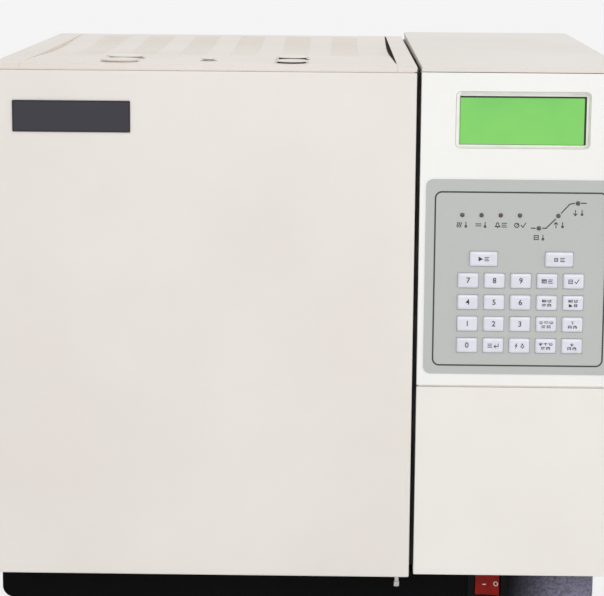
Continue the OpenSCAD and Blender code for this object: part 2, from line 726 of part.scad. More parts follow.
module top_lid() in_frame() color([0.89, 0.87, 0.85]) difference() {
    union() {
        side_view(lid_x0 - lid_seam / 2, lid_x1 + lid_seam / 2) lid_section(0, lid_flat, 1);
        slab([lid_x0 - lid_seam / 2, 0, lip_z], [lid_x1 + lid_seam / 2, sheet, total_h]);
        side_view(lid_x0, lid_x1) lid_section(lid_flat, lid_y1, 12);
        for (x = [lid_x0 + 1.5, lid_x1 - 1.5 - ear_t]) lid_ear(x);
        for (p = [detector_port, main_port]) blanking_plug(p[0], p[2]);
    }
    for (p = ports) bar_z(p[0], p[1], total_h - 8, total_h + 8, p[2] + cap_clear);
    for (i = [0:vent_strips - 1], y = [vent_start:vent_slot_pitch:lid_y1 - 24])
        translate([oven_mid + 2 + (i - (vent_strips - 1) / 2) * vent_pitch - vent_w / 2, y, total_h - 8])
            cube([vent_w, vent_slot, 16]);
}

// Plug with a rimmed cap that closes a spare hole at the lid's front.
module blanking_plug(x, r) {
    bar_z(x, plug_y, total_h - 2 * sheet, rim_z + cap_t / 2, r - cap_rim);
    bar_z(x, plug_y, rim_z, rim_z + cap_t, r);
}

// Hinge ear below the lid, with its bore.
module lid_ear(x) difference() {
    union() {
        bar_x(lid_pivot[0], lid_pivot[1], x, x + ear_t, ear_r);
        slab([x, lid_pivot[0] - ear_r, lid_pivot[1]], [x + ear_t, lid_pivot[0] + ear_r, total_h - sheet / 2]);
    }
    bar_x(lid_pivot[0], lid_pivot[1], x - 1, x + ear_t + 1, lid_pin_r + shaft_fit);
}

module column_top_cover() in_frame() color([0.9, 0.89, 0.87]) {
    rear_z = total_h + cover_rise;
    side_view(column_x, total_w)
        polygon([[0, total_h], [total_d, rear_z], [total_d, rear_z - sheet], [0, total_h - sheet]]);
    slab([column_x, 0, lip_z], [total_w, sheet, total_h - sheet / 2]);
    slab([column_x, total_d - sheet, lip_z], [total_w, total_d, rear_z - sheet / 2]);
    for (x = [column_x, total_w - sheet])
        side_view(x, x + sheet) polygon([[0, lip_z], [0, total_h], [total_d, rear_z], [total_d, lip_z]]);
}

// ---- control panel -------------------------------------------------------------------------

module control_panel() in_frame() color([0.94, 0.93, 0.92]) difference() {
    pan(column_x, seam_z, total_w, shell_z1, panel_d);
    front_plate(column_mid - window_w / 2, window_mid - window_h / 2, column_mid + window_w / 2,
                window_mid + window_h / 2, -1, 2 * sheet, window_corner);
    slab([plate_x0 + plate_over, -1, plate_z0 + plate_over], [plate_x1 - plate_over, 2 * sheet, plate_z1 - plate_over]);
    bar_z(gas_pivot[0], gas_pivot[1], seam_z - 1, seam_z + 2 * sheet, gas_pin_r);
}

module display_window() in_frame() color([0.55, 0.85, 0.42]) {
    x0 = column_mid - window_w / 2;
    z0 = window_mid - window_h / 2;
    difference() {
        front_plate(x0 - 4, z0 - 4, x0 + window_w + 4, z0 + window_h + 4, sheet, window_recess + glass_t, window_corner);
        front_plate(x0 + 1, z0 + 1, x0 + window_w - 1, z0 + window_h - 1, 0, window_recess, window_corner - 1);
    }
}

// The keypad's board with its lamps, and the display module above it, on posts from the panel.
module panel_boards() in_frame() color([0.12, 0.4, 0.22]) {
    x0 = plate_x0 + 4;
    x1 = plate_x1 - 4;
    slab([x0, board_y, plate_z0 + 4], [x1, board_y + board_t, plate_z1 - 4]);
    for (x = [x0 + 2, x1 - 2], z = [plate_z0 + 6, plate_z1 - 6]) bar_y(x, z, sheet, board_y + 0.5, 1.8);
    for (i = [0:6]) bar_y(lamp_x(i), lamp_height(i), -plate_t - 0.4, board_y + 0.5, lamp_r);
    module_y = window_recess + glass_t + fit_gap;
    slab([column_mid - 58, module_y, window_mid - 30], [column_mid + 58, module_y + board_t, window_mid + 25]);
    slab([column_mid - 52, module_y + board_t - 0.1, window_mid - 20], [column_mid + 52, module_y + 5, window_mid + 20]);
}

function lamp_x(i) = lamp_mid + (i - 3) * lamp_pitch;
function lamp_height(i) = seam_z + lamp_z + max(i - 5, i < 4 ? 0 : i - 5) * lamp_step;

function key_width(k) = k[3] ? wide_key_w : key_w;
function key_x(k) = keypad_mid + (k[3] ? k[1] * wide_key_x : (k[1] - 2) * key_pitch_x);
function key_z(k) = seam_z + key_row_z + k[2] * key_pitch_z;

module keypad_plate() in_frame() color([0.75, 0.76, 0.75]) difference() {
    front_plate(plate_x0, plate_z0, plate_x1, plate_z1, -plate_t, 0, plate_corner);
    for (k = KEYS) {
        w = key_width(k) / 2 + key_gap;
        h = key_h / 2 + key_gap;
        slab([key_x(k) - w, -2, key_z(k) - h], [key_x(k) + w, 2, key_z(k) + h]);
    }
    for (i = [0:6]) bar_y(lamp_x(i), lamp_height(i), -2, 2, lamp_r + lamp_gap);
}

// One key: its cap, the rim that keeps it behind the plate and its stem.
module key_piece(k) in_frame() color([0.86, 0.86, 0.92]) {
    w = key_width(k);
    x = key_x(k);
    z = key_z(k);
    front_plate(x - w / 2, z - key_h / 2, x + w / 2, z + key_h / 2, -front_reach, rim_y0 + rim_t, 1.5);
    slab([x - w / 2 - key_rim, rim_y0, z - key_h / 2 - key_rim],
         [x + w / 2 + key_rim, rim_y0 + rim_t, z + key_h / 2 + key_rim]);
    bar_y(x, z, rim_y0, board_y - key_travel - 0.3, 2.5);
}

// ---- gas compartment -----------------------------------------------------------------------

module gas_door() in_frame() color([0.93, 0.92, 0.9]) difference() {
    pan(column_x, gas_z0, total_w, gas_z1, gas_door_d);
    bar_z(gas_pivot[0], gas_pivot[1], gas_z0 - 1, gas_z1 + 1, gas_pin_r + shaft_fit);
}

module gas_panel() in_frame() color([0.85, 0.86, 0.86]) difference() {
    union() {
        slab([divider_x + sheet + fit_gap, gas_panel_y, riser_z + fit_gap],
             [total_w - sheet - fit_gap, gas_panel_y + sheet, seam_z]);
        slab([total_w - 2 * sheet - fit_gap, gas_panel_y, riser_z + fit_gap],
             [total_w - sheet - fit_gap, gas_panel_y + 15, seam_z]);
        slab([divider_x + sheet + fit_gap, gas_panel_y, riser_z + fit_gap],
             [divider_x + 2 * sheet + fit_gap, gas_panel_y + 15, seam_z]);
        for (x = knobs) bar_y(x, valve_z, gas_panel_y, gas_panel_y + 30, 10);
    }
    for (x = knobs) bar_y(x, valve_z, gas_panel_y - 1, gas_panel_y + 22, knob_shaft_r + shaft_fit);
    for (x = knobs) bar_y(x, gauge_z, gas_panel_y - 1, gas_panel_y + sheet + 1, 6);
}

module pressure_gauges() in_frame() color([0.9, 0.9, 0.9])
    for (x = knobs) {
        difference() {
            bar_y(x, gauge_z, gas_panel_y - 22, gas_panel_y - fit_gap, gauge_r);
            bar_y(x, gauge_z, gas_panel_y - 23, gas_panel_y - 20, gauge_r - 2);
        }
        bar_y(x, gauge_z, gas_panel_y - 1, gas_panel_y + 16, 5.5);
    }

module flow_knob(x) in_frame() color([0.2, 0.2, 0.22]) {
    difference() {
        bar_y(x, valve_z, knob_y, knob_y + knob_l, knob_r);
        for (a = [0:30:330])
            translate([x + (knob_r + 1.2) * cos(a), knob_y - 1, valve_z + (knob_r + 1.2) * sin(a)])
                rotate([-90, 0, 0]) cylinder(r = 2.2, h = knob_l - 3);
    }
    bar_y(x, valve_z, knob_y + 2, gas_panel_y + 20, knob_shaft_r);
}

// ---- oven door -----------------------------------------------------------------------------

module oven_door_skin() in_frame() color([0.91, 0.895, 0.87]) difference() {
    pan(0, door_z0, door_w, door_z1, door_d);
    bar_z(door_pivot[0], door_pivot[1], door_z0 - 1, door_z1 + 1, door_pin_r + shaft_fit);
    bar_z(latch_x, latch_y, door_z0 - 1, door_z0 + 2 * sheet, latch_r + shaft_fit);
}

// The door's hollow inner box: a case that fills the skin and a plug that enters the oven.
module oven_door_plug() in_frame() color([0.78, 0.78, 0.76]) {
    box0 = [2 * door_pin_x + 3, sheet + fit_gap, door_z0 + sheet + fit_gap];
    box1 = [latch_x - 8, door_d, door_z1 - sheet - fit_gap];
    t = [liner_t, liner_t, liner_t];
    difference() {
        union() {
            slab(box0, box1);
            slab([plug_x0, door_d - 1, plug_z0], [plug_x1, front_y + plug_reach, plug_z1]);
        }
        slab(box0 + t, box1 - t);
        slab([plug_x0, door_d - 5, plug_z0] + t, [plug_x1, front_y + plug_reach, plug_z1] - t);
    }
}

module door_gasket() in_frame() color([0.75, 0.3, 0.25]) {
    outer = gasket_w + 6;
    difference() {
        slab([liner_x0 - outer, door_d, chamber_z0 - outer], [liner_x1 + outer, front_y - fit_gap, chamber_z1 + outer]);
        slab([liner_x0 - 6, door_d - 1, chamber_z0 - 6], [liner_x1 + 6, front_y + 1, chamber_z1 + 6]);
    }
}

module name_plate() in_frame() color([0.2, 0.19, 0.2])
    front_plate(name_plate_x, door_z1 - name_plate_top - name_plate_h, name_plate_x + name_plate_w,
                door_z1 - name_plate_top, -name_plate_t, 0, 1);

// The latch pin, with the collar that stops it above the door's lower fold.
module latch_pin() in_frame() color([0.8, 0.8, 0.8]) {
    bar_z(latch_x, latch_y, door_z0 - latch_drop, door_z0 + 40, latch_r);
    bar_z(latch_x, latch_y, door_z0 - latch_drop, door_z0 - latch_drop + latch_tip_l, latch_tip_r);
    bar_z(latch_x, latch_y, door_z0 + sheet + 0.2, door_z0 + sheet + 3.2, latch_r + 1.7);
}

// Ear that carries the gas door's lower pin, on the front of the riser.
module gas_hinge_ear()
    slab([tray_w - 14, gas_pivot[1] - 6, gas_z0 - fit_gap - sheet],
         [total_w - 1, tray_recess, gas_z0 - fit_gap]);

module hinge_pins() in_frame() color([0.6, 0.6, 0.62]) {
    gas_hinge_ear();
    bar_z(door_pivot[0], door_pivot[1], tray_top, door_z0 + sheet + 8, door_pin_r);
    bar_z(door_pivot[0], door_pivot[1], door_z1 - sheet - 8, total_h - sheet, door_pin_r);
    bar_z(gas_pivot[0], gas_pivot[1], gas_z0 - fit_gap - sheet, gas_z0 + sheet + 6, gas_pin_r);
    bar_z(gas_pivot[0], gas_pivot[1], gas_z1 - sheet - 6, seam_z + sheet, gas_pin_r);
    bar_x(lid_pivot[0], lid_pivot[1], cheek_left_w - sheet - 2, lid_x0 + 2.5 + ear_t, lid_pin_r);
    bar_x(lid_pivot[0], lid_pivot[1], lid_x1 - 2.5 - ear_t, door_w - cheek_right_w + sheet + 2, lid_pin_r);
}

// ---- mains switch --------------------------------------------------------------------------

module switch_housing() in_frame() color([0.07, 0.07, 0.07]) difference() {
    union() {
        slab([switch_mid - switch_w / 2, tray_recess - 2, switch_z - switch_h / 2],
             [switch_mid + switch_w / 2, tray_recess, switch_z + switch_h / 2]);
        slab([switch_mid - switch_w / 2 + 2.6, tray_recess - 1, switch_z - switch_h / 2 + 1.2],
             [switch_mid + switch_w / 2 - 2.6, tray_recess + 18, switch_z + switch_h / 2 - 1.2]);
        for (x = [-8, 0, 8]) slab([switch_mid + x - 0.5, tray_recess + 17, switch_z - 3],
                                  [switch_mid + x + 0.5, tray_recess + 26, switch_z + 3]);
    }
    slab([switch_mid - rocker_w / 2 - 0.9, tray_recess - 3, switch_z - rocker_h / 2 - 0.3],
         [switch_mid + rocker_w / 2 + 0.9, tray_recess + 12, switch_z + rocker_h / 2 + 0.3]);
    bar_z(switch_mid, rocker_pivot_y, switch_z - rocker_h / 2 - 1.3, switch_z + rocker_h / 2 + 1.3, 1.25);
}

// The rocker, drawn with its left side pressed.
module switch_rocker() in_frame() color([0.75, 0.18, 0.1])
    translate([switch_mid, rocker_pivot_y, switch_z - rocker_h / 2]) rotate([0, 0, -rocker_tilt]) {
        w = rocker_w / 2;
        linear_extrude(rocker_h)
            polygon([[-w, -4.2], [0, -2.4], [w, -4.2], [w, 3], [w / 2, 6], [-w / 2, 6], [-w, 3]]);
        translate([0, 0, -1]) cylinder(r = 1.2, h = rocker_h + 2);
    }

// ---- rear fittings and electronics ---------------------------------------------------------

module exhaust_flap() in_frame() color([0.8, 0.8, 0.8]) {
    slab([flap_x0 - 6, total_d + 1, duct_z - 6], [flap_x0 + duct_w + 6, total_d + 2.2, flap_z1 + 3]);
    for (x = [flap_x0 + 6, flap_x0 + duct_w - 18])
        difference() {
            union() {
                bar_x(flap_pivot[0], flap_pivot[1], x, x + 12, flap_pin_r + 2);
                slab([x, total_d + 1, flap_z1], [x + 12, flap_pivot[0], flap_pivot[1]]);
            }
            bar_x(flap_pivot[0], flap_pivot[1], x - 1, x + 13, flap_pin_r + shaft_fit);
        }
}

// Mains inlet, serial port, gas unions and the pins that carry the exhaust flap.
module rear_connectors() in_frame() color([0.7, 0.68, 0.6]) {
    difference() {
        slab([inlet_x - inlet_w / 2 - 10, total_d, inlet_z - inlet_h / 2 - 4],
             [inlet_x + inlet_w / 2 + 10, total_d + 3, inlet_z + inlet_h / 2 + 4]);
        slab([inlet_x - 11, total_d - 1, inlet_z - 7], [inlet_x + 11, total_d + 4, inlet_z + 7]);
    }
    difference() {
        slab([inlet_x - inlet_w / 2 + 0.3, total_d - 22, inlet_z - inlet_h / 2 + 0.3],
             [inlet_x + inlet_w / 2 - 0.3, total_d, inlet_z + inlet_h / 2 - 0.3]);
        slab([inlet_x - 11, total_d - 17, inlet_z - 7], [inlet_x + 11, total_d + 1, inlet_z + 7]);
    }
    for (x = [-6, 0, 6])
        slab([inlet_x + x - 1, total_d - 18, inlet_z - 3], [inlet_x + x + 1, total_d - 3, inlet_z + 3]);
    slab([socket_x - 7.7, total_d - 10, socket_z - 4.7], [socket_x + 7.7, total_d + 1, socket_z + 4.7]);
    slab([socket_x - 15, total_d, socket_z - 7], [socket_x + 15, total_d + 1, socket_z + 7]);
    for (p = stubs) {
        bar_y(p[0], p[1], total_d - 14, total_d + rear_reach - stub_l, union_r - 1.8);
        translate([p[0], total_d + rear_reach - stub_l, p[1]]) rotate([90, 0, 0])
            cylinder(r = union_r, h = rear_reach - stub_l, $fn = 6);
        bar_y(p[0], p[1], total_d - 20, total_d + rear_reach, stub_r);
    }
    flap_hinge();
}

// Two brackets on the rear panel with a pin through the flap's knuckles.
module flap_hinge()
    for (x = [flap_x0 - 2, flap_x0 + duct_w - 26]) {
        slab([x, total_d, flap_z1 + 3 + fit_gap], [x + 7, total_d + 8.5, flap_z1 + 9.5]);
        slab([x + 21, total_d, flap_z1 + 3 + fit_gap], [x + 28, total_d + 8.5, flap_z1 + 9.5]);
        bar_x(flap_pivot[0], flap_pivot[1], x + 1, x + 27, flap_pin_r);
    }

module circuit_boards() in_frame() color([0.1, 0.4, 0.2]) {
    x = divider_x + sheet + 6;
    y0 = gas_panel_y + 40;
    slab([x, y0, seam_z + 20], [x + board_t, inner_y1 - 30, shell_z1 - 30]);
    for (y = [y0 + 10, inner_y1 - 40], z = [seam_z + 30, shell_z1 - 40])
        bar_x(y, z, divider_x + sheet + fit_gap / 2, x + 0.5, 3);
    for (i = [0:4])
        slab([x + board_t - 0.2, y0 + 30 + i * 55, seam_z + 60], [x + board_t + 8 + 3 * (i % 2), y0 + 60 + i * 55, seam_z + 100]);
    slab([x, y0 + 60, tray_top + fit_gap], [x + 75, y0 + 140, tray_top + 80]);
    slab([x + 12, y0 + 50, tray_top + 15], [x + 63, y0 + 150, tray_top + 65]);
}

// ---- drawing -------------------------------------------------------------------------------

base_tray();
rubber_feet();
left_side_panel();
right_side_panel();
rear_panel();
chassis_frame();
oven_liner();
oven_insulation();
top_deck();
top_frame();
top_lid();
column_top_cover();
control_panel();
display_window();
panel_boards();
keypad_plate();
gas_door();
gas_panel();
pressure_gauges();
flow_knob(knobs[0]);  // flow_knob_left
flow_knob(knobs[1]);  // flow_knob_right
oven_door_skin();
oven_door_plug();
door_gasket();
name_plate();
latch_pin();
hinge_pins();
switch_housing();
switch_rocker();
fan_motor();
fan_impeller();
heater_coil();
exhaust_flap();
injectors();
detectors();
chromatography_column();
rear_connectors();
circuit_boards();
for (k = KEYS) key_piece(k);
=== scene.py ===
"""A bench gas chromatograph: its finishes, its detailed pieces, the studio round it and the camera.

Pieces are drawn in the case's own millimetres, in which x runs from the left side, y from the front
face of the doors and z from the floor. at() turns such a point into the frame's metres.
"""

import json
import logging
import math
import random
from collections.abc import Iterable, Sequence
from dataclasses import dataclass
from enum import Enum
from functools import cached_property
from typing import ClassVar

import bmesh
import bpy
from mathutils import Matrix, Vector

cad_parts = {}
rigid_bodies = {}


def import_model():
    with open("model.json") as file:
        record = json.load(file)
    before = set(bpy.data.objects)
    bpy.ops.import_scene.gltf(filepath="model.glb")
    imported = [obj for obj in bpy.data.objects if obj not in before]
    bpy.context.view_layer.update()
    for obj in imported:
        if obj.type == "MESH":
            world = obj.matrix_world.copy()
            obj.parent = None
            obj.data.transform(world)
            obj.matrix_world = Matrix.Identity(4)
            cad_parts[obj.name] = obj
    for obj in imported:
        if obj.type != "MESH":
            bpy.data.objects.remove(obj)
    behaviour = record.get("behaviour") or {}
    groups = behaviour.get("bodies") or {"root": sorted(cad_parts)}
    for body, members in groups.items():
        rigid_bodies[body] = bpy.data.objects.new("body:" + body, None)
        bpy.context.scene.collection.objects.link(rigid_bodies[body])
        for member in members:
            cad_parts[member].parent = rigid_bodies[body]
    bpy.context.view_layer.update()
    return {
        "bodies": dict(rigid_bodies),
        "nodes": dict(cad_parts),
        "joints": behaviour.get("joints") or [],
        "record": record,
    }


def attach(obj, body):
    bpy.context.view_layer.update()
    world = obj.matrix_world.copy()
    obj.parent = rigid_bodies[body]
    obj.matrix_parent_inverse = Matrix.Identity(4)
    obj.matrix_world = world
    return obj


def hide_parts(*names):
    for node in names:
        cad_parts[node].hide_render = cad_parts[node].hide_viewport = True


LOG = logging.getLogger("gas_chromatograph")
MIDDLE_X = 260.0
MIDDLE_Y = 248.5
SEAM_Z = 204.7
TOP_Z = 470.0
REAR_Y = 480.0

Point = tuple[float, float, float]
Flat = tuple[float, float]
Span = tuple[float, float]
Box = tuple[float, float, float, float]
Colour = tuple[float, float, float, float]


def at(x: float, y: float, z: float) -> Vector:
    """A point of the case, given in its millimetres, in the frame's metres."""
    return Vector(((x - MIDDLE_X) / 1000, (y - MIDDLE_Y) / 1000, z / 1000))


def shade(*levels: float) -> Colour:
    """A colour as shaders take it, from the red, green and blue levels, 0 to 255, that a screen shows."""
    parts = [level / 255 for level in levels]
    return (*(c / 12.92 if c <= 0.04045 else ((c + 0.055) / 1.055) ** 2.4 for c in parts), 1.0)


def dimmed(colour: Colour, share: float, warm: float = 0.0) -> Colour:
    """A colour times a share, a little warmer where warm is above 0."""
    red, green, blue, alpha = colour
    return (red * share * (1 + warm), green * share, blue * share * (1 - warm), alpha)


# ---- shader graphs -------------------------------------------------------------------------------


class Value:
    """A shader socket that carries a number, on which Python's operators add Math nodes."""

    def __init__(self, graph: "Graph", socket: bpy.types.NodeSocket) -> None:
        """Wraps a socket of a graph."""
        self.graph = graph
        self.socket = socket

    def _math(self, operation: str, *inputs: "Value | float") -> "Value":
        """A Math node of that operation on one or two inputs."""
        made = self.graph.node("ShaderNodeMath", {"operation": operation}, dict(enumerate(inputs)))
        return Value(self.graph, made.outputs[0])

    def __add__(self, other: "Value | float") -> "Value":
        """This value plus another."""
        return self._math("ADD", self, other)

    def __radd__(self, other: float) -> "Value":
        """A number plus this value."""
        return self._math("ADD", other, self)

    def __sub__(self, other: "Value | float") -> "Value":
        """This value less another."""
        return self._math("SUBTRACT", self, other)

    def __rsub__(self, other: float) -> "Value":
        """A number less this value."""
        return self._math("SUBTRACT", other, self)

    def __mul__(self, other: "Value | float") -> "Value":
        """This value times another."""
        return self._math("MULTIPLY", self, other)

    def __rmul__(self, other: float) -> "Value":
        """A number times this value."""
        return self._math("MULTIPLY", other, self)

    def __truediv__(self, other: "Value | float") -> "Value":
        """This value over another."""
        return self._math("DIVIDE", self, other)

    def __gt__(self, other: "Value | float") -> "Value":
        """1 where this value is above another, and 0 elsewhere."""
        return self._math("GREATER_THAN", self, other)

    def __lt__(self, other: "Value | float") -> "Value":
        """1 where this value is below another, and 0 elsewhere."""
        return self._math("LESS_THAN", self, other)

    def __abs__(self) -> "Value":
        """This value without its sign."""
        return self._math("ABSOLUTE", self)

    def highest(self, other: "Value") -> "Value":
        """The higher of this value and another."""
        return self._math("MAXIMUM", self, other)

    def saw(self, period: float) -> "Value":
        """How far this value is from the middle of its period, as a share of the period."""
        return abs(self._math("FLOORED_MODULO", self, period) / period - 0.5)

    def between(self, low: float, high: float) -> "Value":
        """0 below low, 1 above high, and a smooth rise between them."""
        made = self.graph.node(
            "ShaderNodeMapRange", {"interpolation_type": "SMOOTHSTEP"}, {0: self, 1: low, 2: high}
        )
        return Value(self.graph, made.outputs[0])


class Graph:
    """The nodes of a material or a world, made one by one."""

    def __init__(self, owner: bpy.types.Material | bpy.types.World) -> None:
        """Empties a tree to make the nodes in.

        Args:
            owner: The material or the world that the tree belongs to.
        """
        owner.use_nodes = True
        self.tree = owner.node_tree
        self.tree.nodes.clear()

    @cached_property
    def place(self) -> bpy.types.NodeSocket:
        """The place on the piece, in the frame's metres."""
        return self.node("ShaderNodeTexCoord").outputs["Object"]

    def node(
        self, kind: str, settings: dict | None = None, sockets: dict | None = None
    ) -> bpy.types.Node:
        """Adds a node.

        Args:
            kind: The node's type.
            settings: Its settings by name, which are set first. "stops" is a ramp's stops.
            sockets: Its input sockets, by name or number, with a value, a Value or a socket for each.

        Returns:
            The node.
        """
        made = self.tree.nodes.new(kind)
        for name, value in (settings or {}).items():
            if name == "stops":
                for number, (position, colour) in enumerate(value):
                    stops = made.color_ramp.elements
                    stop = stops[number] if number < 2 else stops.new(position)
                    stop.position, stop.color = position, colour
            else:
                setattr(made, name, value)
        for key, value in (sockets or {}).items():
            value = value.socket if isinstance(value, Value) else value
            if isinstance(value, bpy.types.NodeSocket):
                self.tree.links.new(value, made.inputs[key])
            else:
                made.inputs[key].default_value = value
        return made

    def axis(self, number: int) -> Value:
        """The place along the frame's X, Y or Z axis, in metres."""
        return Value(self, self.node("ShaderNodeSeparateXYZ", {}, {0: self.place}).outputs[number])

    def noise(self, scale: float | Point, detail: float = 2.0) -> Value:
        """Soft noise about 0.5.

        Args:
            scale: How many features there are to a metre, or to a metre of each axis.
            detail: How many finer layers lie on them.

        Returns:
            The noise.
        """
        where = self.place
        if isinstance(scale, tuple):
            sockets = {0: where, 1: scale}
            where = self.node("ShaderNodeVectorMath", {"operation": "MULTIPLY"}, sockets).outputs[0]
            scale = 1.0
        sockets = {"Vector": where, "Scale": scale, "Detail": detail}
        return Value(self, self.node("ShaderNodeTexNoise", {}, sockets).outputs[0])

    def cells(self, scale: float, output: str = "Distance", feature: str = "F1") -> Value:
        """Cells of random shapes, by their distance or by a random level for each cell.

        Args:
            scale: How many cells there are to a metre.
            output: The output that is read.
            feature: Which distance the texture takes.

        Returns:
            The distance or the level.
        """
        sockets = {"Vector": self.place, "Scale": scale}
        made = self.node("ShaderNodeTexVoronoi", {"feature": feature}, sockets).outputs[output]
        if output == "Color":
            made = self.node("ShaderNodeSeparateColor", {}, {0: made}).outputs[0]
        return Value(self, made)

    def mix(
        self,
        first: "Colour | bpy.types.NodeSocket",
        second: "Colour | bpy.types.NodeSocket",
        share: "Value | float",
    ) -> bpy.types.NodeSocket:
        """The first colour, with that share of the second."""
        made = self.node("ShaderNodeMix", {"data_type": "RGBA"}, {0: share, 6: first, 7: second})
        return made.outputs[2]

    def bump(self, height: Value, strength: float, depth: float) -> bpy.types.NodeSocket:
        """A surface normal that follows a height, where 1 stands for that depth in metres."""
        sockets = {"Height": height, "Strength": strength, "Distance": depth}
        return self.node("ShaderNodeBump", {}, sockets).outputs[0]

    def either(
        self, share: Value, first: bpy.types.Node, second: bpy.types.Node
    ) -> bpy.types.NodeSocket:
        """The first shader, with that share of the second."""
        sockets = {0: share, 1: first.outputs[0], 2: second.outputs[0]}
        return self.node("ShaderNodeMixShader", {}, sockets).outputs[0]

    def principled(self, **sockets: object) -> bpy.types.Node:
        """The usual shader. An input's spaces are underscores in its name."""
        named = {key.replace("_", " "): value for key, value in sockets.items()}
        return self.node("ShaderNodeBsdfPrincipled", {}, named)

    def surface(self, **sockets: object) -> None:
        """Ends a material whose surface is the usual shader with those inputs."""
        self.node("ShaderNodeOutputMaterial", {}, {0: self.principled(**sockets).outputs[0]})

    def seen(self) -> Value:
        """Tells what is seen from what only lights.

        Returns:
            1 for the camera, for gloss and for glass, and 0 for other light.
        """
        path = self.node("ShaderNodeLightPath")
        camera, gloss, glass = (
            Value(self, path.outputs[f"Is {kind} Ray"]) for kind in ("Camera", "Glossy", "Transmission")
        )
        return camera.highest(gloss).highest(glass)


# ---- finishes ------------------------------------------------------------------------------------


@dataclass(frozen=True)
class Finish:
    """A finish: its name, its main colour and how dull it is."""

    name: str
    colour: Colour
    dull: float = 0.5

    def draw(self, graph: Graph) -> None:
        """Draws the finish in an empty graph."""
        raise NotImplementedError

    def rough(self, wave: Value, reach: float) -> Value:
        """The dullness, which rises and falls with a noise by half of that reach."""
        return self.dull + (wave - 0.5) * reach

    def made(self) -> bpy.types.Material:
        """Makes the finish's material once.

        Returns:
            The material.
        """
        known = bpy.data.materials.get(self.name)
        if not known:
            known = bpy.data.materials.new(self.name)
            self.draw(Graph(known))
        return known


@dataclass(frozen=True)
class PowderCoat(Finish):
    """Baked paint on sheet metal with a fine pebbled skin, and a painted sheen where one is given."""

    pebble: float = 620.0
    relief: float = 0.10
    mottle: float = 0.03
    gloss_coat: float = 0.0
    sheen: float = 0.5
    film: Colour | None = None
    film_x: Span = (0.17, 0.235)
    film_y: Span = (-0.2, -0.04)

    def draw(self, graph: Graph) -> None:
        """Faint clouding in the colour, and pebbles in the roughness and the normal.

        Args:
            graph: The empty graph that it is drawn in.
        """
        cloud = graph.noise(6.0, 3.0)
        grain = graph.noise(self.pebble, 1.0)
        speck = graph.noise(2600.0, 0.0)
        deep = dimmed(self.colour, 1 - 2 * self.mottle, 0.012)
        colour = graph.mix(self.colour, deep, cloud.between(0.3, 0.75))
        colour = graph.mix(colour, dimmed(self.colour, 0.9), speck.between(0.66, 0.8) * 0.25)
        # Painted sheen: a bluish-grey reflection painted into the colour over a given stretch of x and y,
        # broken up by the pebbles.
        if self.film:
            cover = graph.axis(0).between(*self.film_x) * (1.0 - graph.axis(1).between(*self.film_y))
            colour = graph.mix(colour, self.film, cover * (0.9 + (grain - 0.5) * 1.4))
        graph.surface(
            Base_Color=colour,
            Roughness=self.rough(grain, 0.14) + (cloud - 0.5) * 0.05,
            Normal=graph.bump(grain + speck * 0.25, self.relief, 0.0004),
            Coat_Weight=self.gloss_coat,
            Coat_Roughness=0.25,
            Specular_IOR_Level=self.sheen,
        )


@dataclass(frozen=True)
class Plastic(Finish):
    """Moulded plastic with a fine spark-eroded grain."""

    grain: float = 1500.0
    relief: float = 0.06
    coat: float = 0.0
    soft: float = 0.0
    sheen: float = 0.5

    def draw(self, graph: Graph) -> None:
        """An even colour with slow shade changes, and the mould's grain in the normal.

        Args:
            graph: The empty graph that it is drawn in.
        """
        cloud = graph.noise(60.0)
        fine = graph.noise(self.grain)
        graph.surface(
            Base_Color=graph.mix(self.colour, dimmed(self.colour, 0.92), cloud.between(0.35, 0.8)),
            Roughness=self.rough(fine, 0.12),
            Normal=graph.bump(fine, self.relief, 0.0002),
            Coat_Weight=self.coat,
            Coat_Roughness=0.12,
            Subsurface_Weight=self.soft,
            Subsurface_Scale=0.001,
            Specular_IOR_Level=self.sheen,
        )


@dataclass(frozen=True)
class Rubber(Finish):
    """Black moulded rubber with dust in its pores."""

    dust: Colour = shade(92, 90, 86)

    def draw(self, graph: Graph) -> None:
        """Pale dust where the surface is low, and pores in the normal.

        Args:
            graph: The empty graph that it is drawn in.
        """
        pores = graph.noise(900.0, 3.0)
        drift = graph.noise(35.0, 4.0)
        graph.surface(
            Base_Color=graph.mix(self.colour, self.dust, drift.between(0.5, 0.85) * 0.45),
            Roughness=self.rough(pores, 0.2),
            Normal=graph.bump(pores, 0.25, 0.0004),
        )


@dataclass(frozen=True)
class Galvanised(Finish):
    """Zinc-dipped steel with its spangle."""

    spangle: float = 95.0
    bloom: Colour = shade(205, 207, 208)

    def draw(self, graph: Graph) -> None:
        """Crystals that differ in shade and gloss, with a faint white bloom.

        Args:
            graph: The empty graph that it is drawn in.
        """
        crystal = graph.cells(self.spangle, "Color")
        edge = graph.cells(self.spangle)
        cloud = graph.noise(14.0, 5.0)
        colour = graph.mix(self.colour, dimmed(self.colour, 0.78), crystal)
        graph.surface(
            Base_Color=graph.mix(colour, self.bloom, cloud.between(0.5, 0.8) * 0.35),
            Metallic=0.85,
            Roughness=self.rough(crystal, 0.16),
            Normal=graph.bump(edge * 6.0 + cloud, 0.05, 0.0004),
        )


